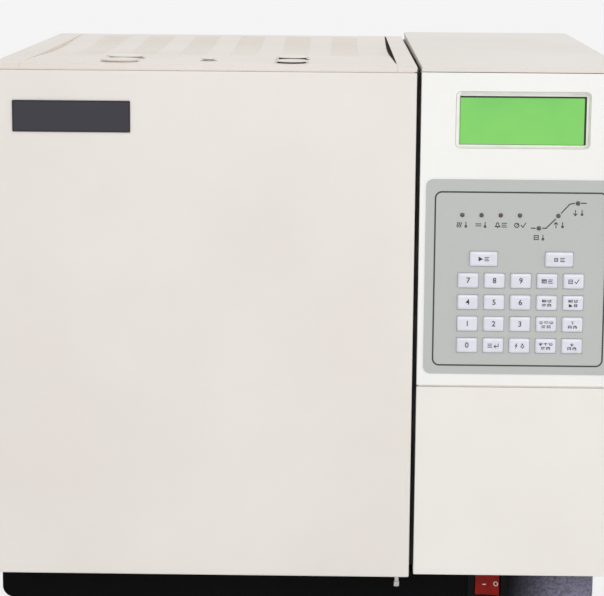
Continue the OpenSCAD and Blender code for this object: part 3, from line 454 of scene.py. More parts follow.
@dataclass(frozen=True)
class Brushed(Finish):
    """Stainless steel or aluminium with a brushed grain along one axis."""

    along: int = 0
    tint: Colour | None = None
    across_grain: float = 900.0
    along_grain: float = 14.0

    def draw(self, graph: Graph) -> None:
        """Fine lines along the grain in roughness and normal, and a heat tint where there is one.

        Args:
            graph: The empty graph that it is drawn in.
        """
        scale = tuple(self.along_grain if i == self.along else self.across_grain for i in range(3))
        line = graph.noise(scale, 3.0)
        wipe = graph.noise(9.0, 3.0)
        colour = graph.mix(dimmed(self.colour, 0.86), self.colour, line.between(0.25, 0.7))
        if self.tint:
            colour = graph.mix(colour, self.tint, wipe.between(0.45, 0.8) * 0.5)
        graph.surface(
            Base_Color=colour,
            Metallic=0.95,
            Roughness=self.rough(line, 0.18) + (wipe - 0.5) * 0.1,
            Normal=graph.bump(line, 0.08, 0.0002),
        )


@dataclass(frozen=True)
class TurnedMetal(Finish):
    """Machined metal with fine tool marks and a little tarnish."""

    tarnish: Colour = (0.2, 0.15, 0.08, 1.0)

    def draw(self, graph: Graph) -> None:
        """Tool marks in the normal and tarnish in blotches.

        Args:
            graph: The empty graph that it is drawn in.
        """
        marks = graph.noise(2400.0, 0.0)
        blotch = graph.noise(70.0, 4.0)
        graph.surface(
            Base_Color=graph.mix(self.colour, self.tarnish, blotch.between(0.5, 0.9) * 0.45),
            Metallic=1.0,
            Roughness=self.rough(blotch, 0.2),
            Normal=graph.bump(marks, 0.05, 0.0001),
        )


@dataclass(frozen=True)
class MineralWool(Finish):
    """Mineral fibre board: pale and matt, with matted fibres."""

    def draw(self, graph: Graph) -> None:
        """Long fibres across each other, darker in the hollows.

        Args:
            graph: The empty graph that it is drawn in.
        """
        across = graph.noise((60.0, 700.0, 500.0), 4.0)
        down = graph.noise((700.0, 500.0, 60.0), 4.0)
        clump = graph.noise(45.0, 4.0)
        hollow = dimmed(self.colour, 0.7, 0.05)
        graph.surface(
            Base_Color=graph.mix(hollow, self.colour, clump.between(0.25, 0.6)),
            Roughness=self.dull,
            Normal=graph.bump(across * 0.5 + down * 0.5 + clump, 0.5, 0.003),
            Sheen_Weight=0.25,
        )


@dataclass(frozen=True)
class Braid(Finish):
    """A woven glass-fibre strip."""

    strand: float = 1.6

    def draw(self, graph: Graph) -> None:
        """Strands that cross on the slant, with dark gaps.

        Args:
            graph: The empty graph that it is drawn in.
        """
        run, rise = graph.axis(0) * 1000.0, graph.axis(2) * 1000.0
        weave = ((run + rise).saw(self.strand) * 2.0) * ((run - rise + 500.0).saw(self.strand) * 2.0)
        gap = dimmed(self.colour, 0.55, 0.06)
        graph.surface(
            Base_Color=graph.mix(self.colour, gap, weave.between(0.25, 0.8)),
            Roughness=self.dull,
            Normal=graph.bump(1.0 - weave, 0.5, 0.0006),
        )


@dataclass(frozen=True)
class Anodised(Finish):
    """Dark anodised aluminium plate with a satin grain."""

    def draw(self, graph: Graph) -> None:
        """A satin grain along the plate and faint rubbed places.

        Args:
            graph: The empty graph that it is drawn in.
        """
        line = graph.noise((30.0, 900.0, 1600.0))
        rub = graph.noise(22.0, 3.0)
        graph.surface(
            Base_Color=graph.mix(self.colour, dimmed(self.colour, 1.5), rub.between(0.5, 0.85) * 0.4),
            Metallic=0.35,
            Roughness=self.rough(line, 0.16),
            Normal=graph.bump(line, 0.06, 0.0001),
        )


@dataclass(frozen=True)
class BacklitPane(Finish):
    """A lit liquid-crystal pane behind clear plastic, with its dot grid."""

    dark: Colour = (0.1, 0.5, 0.1, 1.0)
    pitch: float = 0.62

    def draw(self, graph: Graph) -> None:
        """A glow that is a little uneven, crossed by the fine grid between the dots.

        Args:
            graph: The empty graph that it is drawn in.
        """
        across, down = ((graph.axis(i) * 1000.0).saw(self.pitch).between(0.40, 0.5) for i in (0, 2))
        cloud = graph.noise(22.0)
        glow = graph.mix(self.colour, self.dark, cloud.between(0.35, 0.75) * 0.6)
        graph.surface(
            Base_Color=shade(40, 90, 40),
            Roughness=self.rough(cloud, 0.02),
            Emission_Color=graph.mix(glow, self.dark, (across * 0.5 + down * 0.5) * 0.45),
            Emission_Strength=0.9,
            Coat_Weight=1.0,
            Coat_Roughness=0.02,
        )


@dataclass(frozen=True)
class LitPlastic(Finish):
    """Clear coloured plastic, such as the rocker or a lamp's lens."""

    depth: float = 0.5
    skin: float = 0.6
    sheen: float = 0.5

    def draw(self, graph: Graph) -> None:
        """Deeper colour in slow clouds under a polished skin.

        Args:
            graph: The empty graph that it is drawn in.
        """
        cloud = graph.noise(120.0)
        deep = dimmed(self.colour, self.depth)
        graph.surface(
            Base_Color=graph.mix(self.colour, deep, cloud.between(0.3, 0.8)),
            Roughness=self.rough(cloud, 0.06),
            Coat_Weight=self.skin,
            Coat_Roughness=0.08,
            Specular_IOR_Level=self.sheen,
            Subsurface_Weight=0.2,
            Subsurface_Scale=0.002,
        )


@dataclass(frozen=True)
class Ink(Finish):
    """Screen-printed ink, slightly uneven at its edges."""

    def draw(self, graph: Graph) -> None:
        """Ink whose cover varies a little.

        Args:
            graph: The empty graph that it is drawn in.
        """
        cover = graph.noise(800.0)
        graph.surface(
            Base_Color=graph.mix(self.colour, dimmed(self.colour, 1.3), cover.between(0.5, 0.9)),
            Roughness=self.rough(cover, 0.1),
            Normal=graph.bump(cover, 0.04, 0.0001),
        )


@dataclass(frozen=True)
class ScorchedMetal(Finish):
    """Resistance alloy or steel that has been hot, with straw and blue oxide."""

    oxides: tuple[tuple[float, Colour], ...] = (
        (0.0, shade(150, 140, 128)),
        (1.0, shade(70, 62, 66)),
        (0.45, shade(136, 104, 74)),
        (0.7, shade(84, 78, 100)),
    )

    def draw(self, graph: Graph) -> None:
        """Oxide colours in bands of noise.

        Args:
            graph: The empty graph that it is drawn in.
        """
        heat = graph.noise(38.0, 3.0)
        tint = graph.node("ShaderNodeValToRGB", {"stops": self.oxides}, {0: heat})
        graph.surface(
            Base_Color=graph.mix(self.colour, tint.outputs[0], 0.75),
            Metallic=0.8,
            Roughness=self.rough(heat, 0.3),
            Normal=graph.bump(graph.noise(900.0), 0.12, 0.0002),
        )


@dataclass(frozen=True)
class CircuitBoard(Finish):
    """A populated board: green laminate with copper tracks, black parts and a steel core."""

    parts_from: float = 0.0995
    core_below: float = 0.125

    def draw(self, graph: Graph) -> None:
        """Tracks on the laminate, and other colours where the parts stand proud of it.

        Args:
            graph: The empty graph that it is drawn in.
        """
        track = graph.cells(170.0, "Distance", "DISTANCE_TO_EDGE")
        green = graph.mix(dimmed(self.colour, 1.6), self.colour, track.between(0.03, 0.06))
        parts = graph.mix(shade(34, 34, 37), shade(120, 116, 108), graph.axis(2) < self.core_below)
        graph.surface(
            Base_Color=graph.mix(green, parts, graph.axis(0) > self.parts_from),
            Roughness=self.dull + track.between(0.0, 0.1) * 0.1,
            Normal=graph.bump(track.between(0.03, 0.06), 0.2, 0.0002),
        )


@dataclass(frozen=True)
class ClearPane(Finish):
    """A thin clear pane with faint dust."""

    def draw(self, graph: Graph) -> None:
        """Mostly clear, with dust that is a little less so.

        Args:
            graph: The empty graph that it is drawn in.
        """
        dust = graph.noise(180.0, 4.0)
        graph.surface(
            Base_Color=self.colour,
            Roughness=self.dull,
            Alpha=dust.between(0.5, 0.9) * 0.08 + 0.12,
            Coat_Weight=1.0,
            Coat_Roughness=0.02,
        )


@dataclass(frozen=True)
class Coverings:
    """Every finish of the chromatograph."""

    cream: Finish = PowderCoat("cream_powder_coat", shade(236, 231, 225))
    # The lid's and the column cover's paints are shaded copies of the cream and the ivory: darker because
    # the top takes less light.
    lid_cream: Finish = PowderCoat("lid_powder_coat", shade(233, 226, 219))
    cover_ivory: Finish = PowderCoat("cover_powder_coat", shade(231, 225, 218), 0.46, relief=0.08)
    ivory: Finish = PowderCoat("ivory_powder_coat", shade(242, 238, 233), 0.46, relief=0.08)
    # The control panel's paint is a lit copy of the ivory below it: brighter, a painted highlight of the
    # light on its face.
    panel: Finish = PowderCoat(
        "panel_powder_coat", shade(246, 246, 243), 0.4, relief=0.08, gloss_coat=0.15
    )
    # The base's black paint carries a painted sheen: a reflection painted into its colour towards its right
    # front end.
    black: Finish = PowderCoat(
        "black_powder_coat", shade(6, 6, 8), 0.5, 480.0, 0.25, 0.1, sheen=0.06, film=shade(132, 130, 150)
    )
    rubber: Finish = Rubber("foot_rubber", shade(32, 32, 33), 0.75)
    zinc: Finish = Galvanised("galvanised_sheet", shade(172, 175, 178), 0.42)
    stainless: Finish = Brushed("brushed_stainless", shade(196, 194, 188), 0.3)
    liner: Finish = Brushed("oven_stainless", shade(190, 187, 178), 0.34, 2, shade(176, 152, 108))
    aluminium: Finish = Brushed("fan_aluminium", shade(188, 190, 192), 0.38, 1)
    steel: Finish = TurnedMetal("plated_steel", shade(186, 186, 184), 0.26, shade(120, 112, 96))
    brass: Finish = TurnedMetal("turned_brass", shade(206, 172, 98), 0.28, shade(110, 80, 40))
    chrome: Finish = TurnedMetal("bright_chrome", shade(214, 214, 216), 0.1, shade(150, 150, 152))
    wool: Finish = MineralWool("mineral_wool", shade(232, 228, 214), 0.95)
    braid: Finish = Braid("glass_braid", shade(214, 208, 192), 0.85)
    plate: Finish = PowderCoat("keypad_foil", shade(189, 192, 189), 0.42, 1400.0, 0.05, 0.015)
    keycap: Finish = Plastic("keycap_plastic", shade(226, 226, 236), 0.24, coat=0.5, soft=0.08)
    key_ink: Finish = Ink("key_print", shade(32, 26, 46))
    plate_ink: Finish = Ink("plate_print", shade(32, 33, 36))
    border_ink: Finish = Ink("border_print", shade(56, 58, 60))
    white_ink: Finish = Ink("white_print", shade(236, 232, 228), 0.45)
    red_ink: Finish = Ink("red_print", shade(190, 44, 36), 0.45)
    bezel: Finish = Plastic("bezel_plastic", shade(245, 244, 238), 0.4)
    mask: Finish = Plastic("display_mask", shade(34, 42, 34), 0.3)
    pane: Finish = BacklitPane("display_pane", shade(122, 204, 82), 0.18, shade(100, 186, 82))
    lamp: Finish = LitPlastic("lamp_lens", shade(78, 74, 80), 0.22)
    alarm_lamp: Finish = LitPlastic("alarm_lens", shade(104, 56, 54), 0.22)
    name_plate: Finish = Anodised("dark_anodised", shade(56, 54, 63), 0.36)
    plate_line: Finish = Ink("plate_line", shade(26, 24, 28), 0.4)
    housing: Finish = Plastic("switch_housing_plastic", shade(9, 9, 11), 0.4, sheen=0.1)
    rocker: Finish = LitPlastic("red_rocker", shade(140, 20, 8), 0.34, 0.72, 0.0, 0.15)
    knob: Finish = Plastic("knob_plastic", shade(46, 46, 50), 0.4)
    motor: Finish = PowderCoat("motor_enamel", shade(84, 88, 94), 0.4, 260.0, 0.3)
    heater: Finish = ScorchedMetal("oxidised_heater", shade(120, 104, 92))
    silica: Finish = Plastic("coated_silica", shade(150, 96, 40), 0.3, coat=0.6)
    dial: Finish = Ink("dial_face", shade(240, 240, 236), 0.4)
    clear: Finish = ClearPane("gauge_glass", shade(235, 240, 240), 0.05)
    board: Finish = CircuitBoard("circuit_laminate", shade(34, 104, 62), 0.4)
    # Painted shade and painted light: the black and umber finishes darken seams and gaps, and the pale ones
    # lighten the shade in them.
    foam: Finish = Rubber("black_foam", shade(22, 22, 23), 0.9)
    pale_foam: Finish = Plastic("pale_foam", shade(246, 236, 228), 0.9)
    silicone: Finish = Plastic("pale_silicone", shade(246, 236, 222), 0.7)
    umber_foam: Finish = Plastic("umber_foam", shade(60, 42, 38), 0.95, sheen=0.1)
    gauze: Finish = Plastic("beige_gauze", shade(200, 194, 170), 0.9)


COVER = Coverings()


# ---- shapes --------------------------------------------------------------------------------------


class Axis(Enum):
    """The axis along which a shape is drawn out from its outline."""

    X = "x"
    Y = "y"
    Z = "z"

    def point(self, u: float, v: float, along: float) -> Point:
        """A point of an outline (in y and z, x and z, or x and y) at a place along the axis."""
        return {"x": (along, u, v), "y": (u, along, v), "z": (u, v, along)}[self.value]


def spaced(low: float, high: float, count: int) -> list[float]:
    """That many values from low to high, evenly spaced."""
    return [low + (high - low) * i / (count - 1) for i in range(count)]


def polar(middle: Flat, radius: float, degrees: float) -> Flat:
    """The point at a radius and an angle from a middle."""
    turn = math.radians(degrees)
    return (middle[0] + radius * math.cos(turn), middle[1] + radius * math.sin(turn))


def about(middle: Flat, half: Flat) -> Box:
    """The box round a middle, with half of its width and of its height."""
    return (middle[0] - half[0], middle[1] - half[1], middle[0] + half[0], middle[1] + half[1])


def inset(box: Box, *sides: float) -> Box:
    """A box drawn in by one length, or by its own at the left, the foot, the right and the head."""
    left, foot, right, head = sides * 4 if len(sides) == 1 else sides
    return (box[0] + left, box[1] + foot, box[2] - right, box[3] - head)


def corners(box: Box) -> list[Flat]:
    """A box's corners, anticlockwise from the lower left."""
    x0, z0, x1, z1 = box
    return [(x0, z0), (x1, z0), (x1, z1), (x0, z1)]


def rounded(box: Box, radius: float, steps: int = 6) -> list[Flat]:
    """A rectangle with rounded corners.

    Args:
        box: Its left, lower, right and upper edge.
        radius: The corners' radius.
        steps: How many pieces each corner has.

    Returns:
        Its outline, anticlockwise.
    """
    x0, z0, x1, z1 = inset(box, radius)
    return [
        polar(centre, radius, start + 90 * i / steps)
        for centre, start in (((x1, z1), 0), ((x0, z1), 90), ((x0, z0), 180), ((x1, z0), 270))
        for i in range(steps + 1)
    ]


def circle(middle: Flat, radius: float, count: int = 32) -> list[Flat]:
    """The outline of a circle, as that many points."""
    return [polar(middle, radius, 360 * i / count) for i in range(count)]


def cross(middle: Flat, reach: float, half: float, count: int = 32) -> list[Flat]:
    """The outline of a cross recess.

    Args:
        middle: Its middle.
        reach: The length of an arm.
        half: Half of an arm's width.
        count: How many points it has.

    Returns:
        Its outline.
    """
    points = []
    for i in range(count):
        c, s = (max(abs(part), 1e-6) for part in polar((0.0, 0.0), 1.0, 360 * i / count))
        radius = max(min(reach / c, half / s), min(half / c, reach / s))
        points.append(polar(middle, radius, 360 * i / count))
    return points


def ribbon(start: Flat, end: Flat, width: float) -> list[Flat]:
    """The outline of a straight line, which reaches past its ends by half of its width.

    Args:
        start: Where it starts.
        end: Where it ends.
        width: Its width.

    Returns:
        Its corners, anticlockwise.
    """
    (x0, z0), (x1, z1) = start, end
    half = width / 2 / math.hypot(x1 - x0, z1 - z0)
    u, v = (x1 - x0) * half, (z1 - z0) * half
    return [
        (x0 - u + v, z0 - v - u),
        (x1 + u + v, z1 + v - u),
        (x1 + u - v, z1 + v + u),
        (x0 - u - v, z0 - v + u),
    ]


def loop(*points: Flat) -> tuple[Flat, ...]:
    """A line through points and back to the first."""
    return (*points, points[0])


def bar(left: float, right: float, z: float) -> tuple[Flat, Flat]:
    """A level line."""
    return ((left, z), (right, z))


def printed(face: float, proud: float = 0.06, buried: float = 0.2) -> Span:
    """Where the skin of print on a face that looks to the front begins, and where it is buried."""
    return (face - proud, face + buried)


class Form:
    """A mesh under construction, in the case's millimetres."""

    def __init__(self) -> None:
        """Starts an empty mesh, whose faces take the first finish."""
        self.mesh = bmesh.new()
        self.finish = 0

    def face(self, points: Sequence[bmesh.types.BMVert]) -> None:
        """Adds a smooth face in the present finish between points that are there."""
        made = self.mesh.faces.new(points)
        made.material_index, made.smooth = self.finish, True

    def loft(self, rings: Sequence[Sequence[Point]], closed: bool = False, mouth: bool = False) -> None:
        """Joins rings of points, each of the same count, into a skin.

        Args:
            rings: The rings, in order.
            closed: Whether the last ring joins the first.
            mouth: Whether the first ring stays open where the skin isn't closed.
        """
        made = [[self.mesh.verts.new(at(*point)) for point in ring] for ring in rings]
        for low, high in zip(made, made[1:] + made[: int(closed)]):
            for i in range(len(low)):
                j = (i + 1) % len(low)
                self.face([low[i], low[j], high[j], high[i]])
        if not closed:
            if not mouth:
                self.face(made[0][::-1])
            self.face(made[-1])

    def stack(
        self,
        levels: Iterable[tuple[Sequence[Flat], float]],
        axis: Axis = Axis.Y,
        closed: bool = False,
        mouth: bool = False,
    ) -> None:
        """Joins outlines of the same count into a skin.

        Args:
            levels: Each outline with its place along the axis, in order.
            axis: The axis across the outlines.
            closed: Whether the last outline joins the first.
            mouth: Whether the first outline stays open where the skin isn't closed.
        """
        rings = [[axis.point(u, v, along) for u, v in outline] for outline, along in levels]
        self.loft(rings, closed, mouth)

    def prism(self, outline: Sequence[Flat], low: float, high: float, axis: Axis = Axis.Y) -> None:
        """Draws an outline out along an axis, from low to high."""
        self.stack([(outline, low), (outline, high)], axis)

    def box(self, low: Point, high: Point) -> None:
        """A block between two opposite corners."""
        self.prism(corners((low[0], low[2], high[0], high[2])), low[1], high[1])

    def frame(self, outer: Sequence[Flat], inner: Sequence[Flat], low: float, high: float) -> None:
        """A flat frame between two outlines of the same count, from low to high along y."""
        self.stack([(outer, low), (outer, high), (inner, high), (inner, low)], closed=True)

    def turned(
        self,
        profile: Iterable[Flat],
        middle: Flat,
        axis: Axis = Axis.Y,
        count: int = 32,
        closed: bool = False,
    ) -> None:
        """A turned piece, or a hexagon where it has six points.

        Args:
            profile: Pairs of a radius and a place along the axis, in order.
            middle: The axis's place in the outline's plane.
            axis: The axis's direction.
            count: How many points go round it.
            closed: Whether the profile comes back to its start, as a ring's does.
        """
        self.stack([(circle(middle, radius, count), along) for radius, along in profile], axis, closed)

    def tube(self, path: Sequence[Point], radius: float, count: int = 10, closed: bool = False) -> None:
        """A round tube along a path.

        Args:
            path: The points of its centre line.
            radius: Its radius.
            count: How many points go round it.
            closed: Whether the path comes back to its start.
        """
        points = [Vector(point) for point in path]
        side, rings = None, []
        for i, point in enumerate(points):
            after = points[(i + 1) % len(points)] if closed or i + 1 < len(points) else point
            before = points[i - 1] if closed or i else point
            ahead = (after - before).normalized()
            if side is None:
                side = ahead.orthogonal()
            side = (side - ahead * side.dot(ahead)).normalized()
            up = ahead.cross(side)
            rings.append([point + (side * c + up * s) * radius for c, s in circle((0.0, 0.0), 1.0, count)])
        self.loft(rings, closed)

    def stroke(self, line: Sequence[Flat], width: float, skin: Span) -> None:
        """A printed line on a surface that faces the front.

        Args:
            line: Its points.
            width: Its width.
            skin: Where its face is, and where it is buried.
        """
        for start, end in zip(line, line[1:]):
            self.prism(ribbon(start, end, width), *skin)

    def figure(self, text: str, size: float, middle: Flat, skin: Span) -> None:
        """A number on a surface that faces the front.

        Args:
            text: The number.
            size: The height of its letters' box.
            middle: Its middle.
            skin: Where its face is, and where it is buried.
        """
        curve = bpy.data.curves.new("figure", "FONT")
        curve.body, curve.size, curve.resolution_u = text, size, 3
        curve.align_x, curve.align_y = "CENTER", "CENTER"
        curve.extrude, curve.offset = (skin[1] - skin[0]) / 2, size * 0.012
        holder = bpy.data.objects.new("figure", curve)
        drawn = bpy.data.meshes.new_from_object(holder)
        (x, z), y = middle, sum(skin) / 2
        points = [self.mesh.verts.new(at(x + v.co.x, y - v.co.z, z + v.co.y)) for v in drawn.vertices]
        for polygon in drawn.polygons:
            self.face([points[i] for i in polygon.vertices])
        bpy.data.objects.remove(holder)
        bpy.data.curves.remove(curve)
        bpy.data.meshes.remove(drawn)

    def screw(self, middle: Flat, face: float, outwards: float, radius: float = 3.0) -> None:
        """A pan-head screw with a cross recess, on a surface that faces the front or the rear.

        Args:
            middle: Its middle.
            face: Where the surface is.
            outwards: -1 to face the front, or 1 to face the rear.
            radius: The head's radius.
        """
        levels = (
            (circle(middle, radius), 0.0),
            (circle(middle, radius), 0.5),
            (circle(middle, radius * 0.86), 1.25),
            (circle(middle, radius * 0.62), 1.6),
            (cross(middle, radius * 0.46, radius * 0.13), 1.66),
            (cross(middle, radius * 0.34, radius * 0.08), 0.7),
        )
        self.stack([(outline, face + outwards * height) for outline, height in levels])

    def piece(
        self,
        name: str,
        body: str,
        finishes: Sequence[Finish],
        slot: str,
        bevel: float = 0.0,
        sharp: float = 35.0,
    ) -> bpy.types.Object:
        """Ends the mesh as a piece that rides on a body.

        Args:
            name: The piece's name.
            body: The body that it rides on.
            finishes: Its finishes, in the order of its faces' numbers.
            slot: The record's material slot that goes with the piece. It is not used.
            bevel: The radius of its edges, in millimetres, or 0 to leave them.
            sharp: The angle above which an edge stays crisp, in degrees.

        Returns:
            The piece.
        """
        bmesh.ops.remove_doubles(self.mesh, verts=self.mesh.verts, dist=1e-7)
        bmesh.ops.recalc_face_normals(self.mesh, faces=self.mesh.faces)
        data = bpy.data.meshes.new(name)
        self.mesh.to_mesh(data)
        self.mesh.free()
        data.set_sharp_from_angle(angle=math.radians(sharp))
        for finish in finishes:
            data.materials.append(finish.made())
        made = bpy.data.objects.new(name, data)
        bpy.context.scene.collection.objects.link(made)
        if bevel:
            soften(made, bevel, sharp)
        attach(made, body)
        LOG.info("made %s", name)
        return made


def soften(piece: bpy.types.Object, radius: float, sharp: float, clamp: bool = True) -> None:
    """Rounds a piece's crisp edges.

    Args:
        piece: The piece.
        radius: The edges' radius, in millimetres.
        sharp: The angle above which an edge is rounded, in degrees.
        clamp: Whether the radius shrinks where edges are close together.
    """
    edge = piece.modifiers.new("edges", "BEVEL")
    edge.width, edge.segments = radius / 1000, 2
    edge.limit_method, edge.angle_limit = "ANGLE", math.radians(sharp)
    edge.harden_normals, edge.use_clamp_overlap = True, clamp


# ---- pictograms ----------------------------------------------------------------------------------


class Pictogram(Enum):
    """Plain marks for keys and lamps, as lines in a square from -1 to 1."""

    HEAT = tuple(
        tuple((x + 0.16 * math.sin(z * 4.0), z) for z in (-0.8, -0.4, 0.0, 0.4, 0.8))
        for x in (-0.6, 0.0, 0.6)
    )
    THERMOMETER = (((0.0, -0.3), (0.0, 0.9)), loop(*circle((0.0, -0.55), 0.3, 8)))
    STEADY = (bar(-0.9, 0.9, 0.35), bar(-0.9, 0.9, -0.35))
    BELL = (
        loop((-0.8, -0.5), (-0.5, -0.2), (-0.4, 0.5), (0.0, 0.85), (0.4, 0.5), (0.5, -0.2), (0.8, -0.5)),
        bar(-0.15, 0.15, -0.85),
    )
    TICK = (((-0.8, 0.0), (-0.2, -0.7), (0.8, 0.8)),)
    BOX = (loop(*corners((-0.7, -0.7, 0.7, 0.7))), bar(-0.3, 0.3, 0.0))
    UP = (((0.0, -0.9), (0.0, 0.9)), ((-0.6, 0.3), (0.0, 0.9), (0.6, 0.3)))
    DOWN = (((0.0, 0.9), (0.0, -0.9)), ((-0.6, -0.3), (0.0, -0.9), (0.6, -0.3)))
    FLAME = (loop((0.0, -0.9), (-0.6, -0.4), (-0.4, 0.2), (0.0, 0.9), (0.2, 0.3), (0.6, -0.3)),)
    SCREEN = (loop(*corners((-0.85, -0.6, 0.85, 0.7))), bar(-0.5, 0.5, 0.3), bar(-0.5, 0.2, -0.15))
    DIAL = (loop(*circle((0.0, 0.0), 0.75, 10)), ((0.0, 0.0), (0.4, 0.45)))
    ENTER = (((0.8, 0.7), (0.8, -0.3), (-0.8, -0.3)), ((-0.3, 0.2), (-0.8, -0.3), (-0.3, -0.8)))
    SPARK = (((0.25, 0.9), (-0.4, 0.05), (0.35, 0.05), (-0.25, -0.9)),)
    BARS = (bar(-0.8, 0.8, 0.65), bar(-0.8, 0.5, 0.0), bar(-0.8, 0.8, -0.65))
    BRIDGE = (loop((0.0, -0.85), (0.85, 0.0), (0.0, 0.85), (-0.85, 0.0)), ((0.0, -0.85), (0.0, 0.85)))
    PLUS = (bar(-0.7, 0.7, 0.0), ((0.0, -0.7), (0.0, 0.7)))
    RUN = (loop((-0.6, -0.7), (-0.6, 0.7), (0.7, 0.0)), loop((-0.3, -0.3), (-0.3, 0.3), (0.3, 0.0)))
    STOP = (loop(*corners((-0.6, -0.6, 0.6, 0.6))), bar(-0.25, 0.25, 0.0))

    def draw(self, form: Form, middle: Flat, half: float, width: float, skin: Span) -> None:
        """Draws the mark on a surface that faces the front.

        Args:
            form: The mesh that it goes on.
            middle: Its middle.
            half: Half of its size.
            width: Its lines' width.
            skin: Where its face is, and where it is buried.
        """
        for line in self.value:
            form.stroke([(middle[0] + u * half, middle[1] + v * half) for u, v in line], width, skin)


# ---- sub-assemblies ------------------------------------------------------------------------------


@dataclass(frozen=True)
class Strip:
    """A strip in a seam, dark for painted shade and pale for painted light: its name, its span along x, y
    and z, its finish and its slot.
    """

    name: str
    spans: tuple[Span, Span, Span]
    finish: Finish
    slot: str = "rubber"

    def make(self) -> None:
        """Makes the strip on the cabinet."""
        form = Form()
        form.box(*zip(*self.spans))
        form.piece(self.name, "cabinet", [self.finish], self.slot)


@dataclass
class Assembly:
    """A part of the instrument that is dressed and detailed together.

    Its looks are its CAD nodes, each with a finish, the radius of its folds in millimetres, or 0 to
    leave them, and perhaps True where that radius shrinks between edges that are close together.
    """

    frame: dict
    looks: ClassVar[tuple[tuple, ...]] = ()

    def build(self) -> None:
        """Dresses its nodes, then makes its pieces."""
        for look in self.looks:
            self.dress(*look)
        self.make()

    def dress(self, node: str, finish: Finish, fold: float, clamp: bool = False) -> None:
        """Gives a CAD node its finish, and rounds its folds.

        Args:
            node: The node's name.
            finish: Its finish.
            fold: The radius of its folds and edges, in millimetres, or 0 to leave them.
            clamp: Whether the radius shrinks where edges are close together.
        """
        piece = self.frame["nodes"][node]
        for slot in piece.material_slots:
            slot.material = finish.made()
        if fold:
            weld = piece.modifiers.new("joined", "WELD")
            weld.merge_threshold = 1e-6
            soften(piece, fold, 40.0, clamp)
        LOG.info("dressed %s in %s", node, finish.name)

    def make(self) -> None:
        """Makes its pieces."""
        raise NotImplementedError


@dataclass
class Base(Assembly):
    """The black base tray on its rubber feet."""

    looks: ClassVar = (("base_tray", COVER.black, 0.7), ("rubber_feet", COVER.rubber, 0.8))
    foot_xs: Span = (38.0, 470.0)
    foot_ys: Span = (58.0, 422.0)
    washer_r: Span = (3.4, 5.0)
    washer_z: Span = (0.05, 1.4)

    def make(self) -> None:
        """A washer in each foot."""
        (bore, rim), (low, high) = self.washer_r, self.washer_z
        ring = [(bore, low), (bore, high), (rim, high), (rim, low)]
        form = Form()
        for x in self.foot_xs:
            for y in self.foot_ys:
                form.turned(ring, (x, y), Axis.Z, 24, closed=True)
        form.piece("foot_washers", "cabinet", [COVER.steel], "steel")


@dataclass
class Casework(Assembly):
    """The side and rear panels with the rear panel's screws."""

    looks: ClassVar = (
        ("left_side_panel", COVER.cream, 0.6),
        ("right_side_panel", COVER.cream, 0.6),
        ("rear_panel", COVER.cream, 0.0),
    )
    screw_places: tuple[Flat, ...] = (
        (9.0, 46.0), (96.0, 46.0), (254.0, 46.0), (340.0, 46.0), (9.0, 444.0), (120.0, 444.0),
        (230.0, 444.0), (340.0, 444.0), (362.0, 46.0), (511.0, 46.0), (362.0, 456.0), (436.0, 456.0),
        (511.0, 456.0), (511.0, 250.0), (9.0, 250.0),
    )  # fmt: skip

    def make(self) -> None:
        """Sets the rear panel's screws."""
        form = Form()
        for place in self.screw_places:
            form.screw(place, REAR_Y, 1.0)
        form.piece("rear_screws", "cabinet", [COVER.steel], "steel")


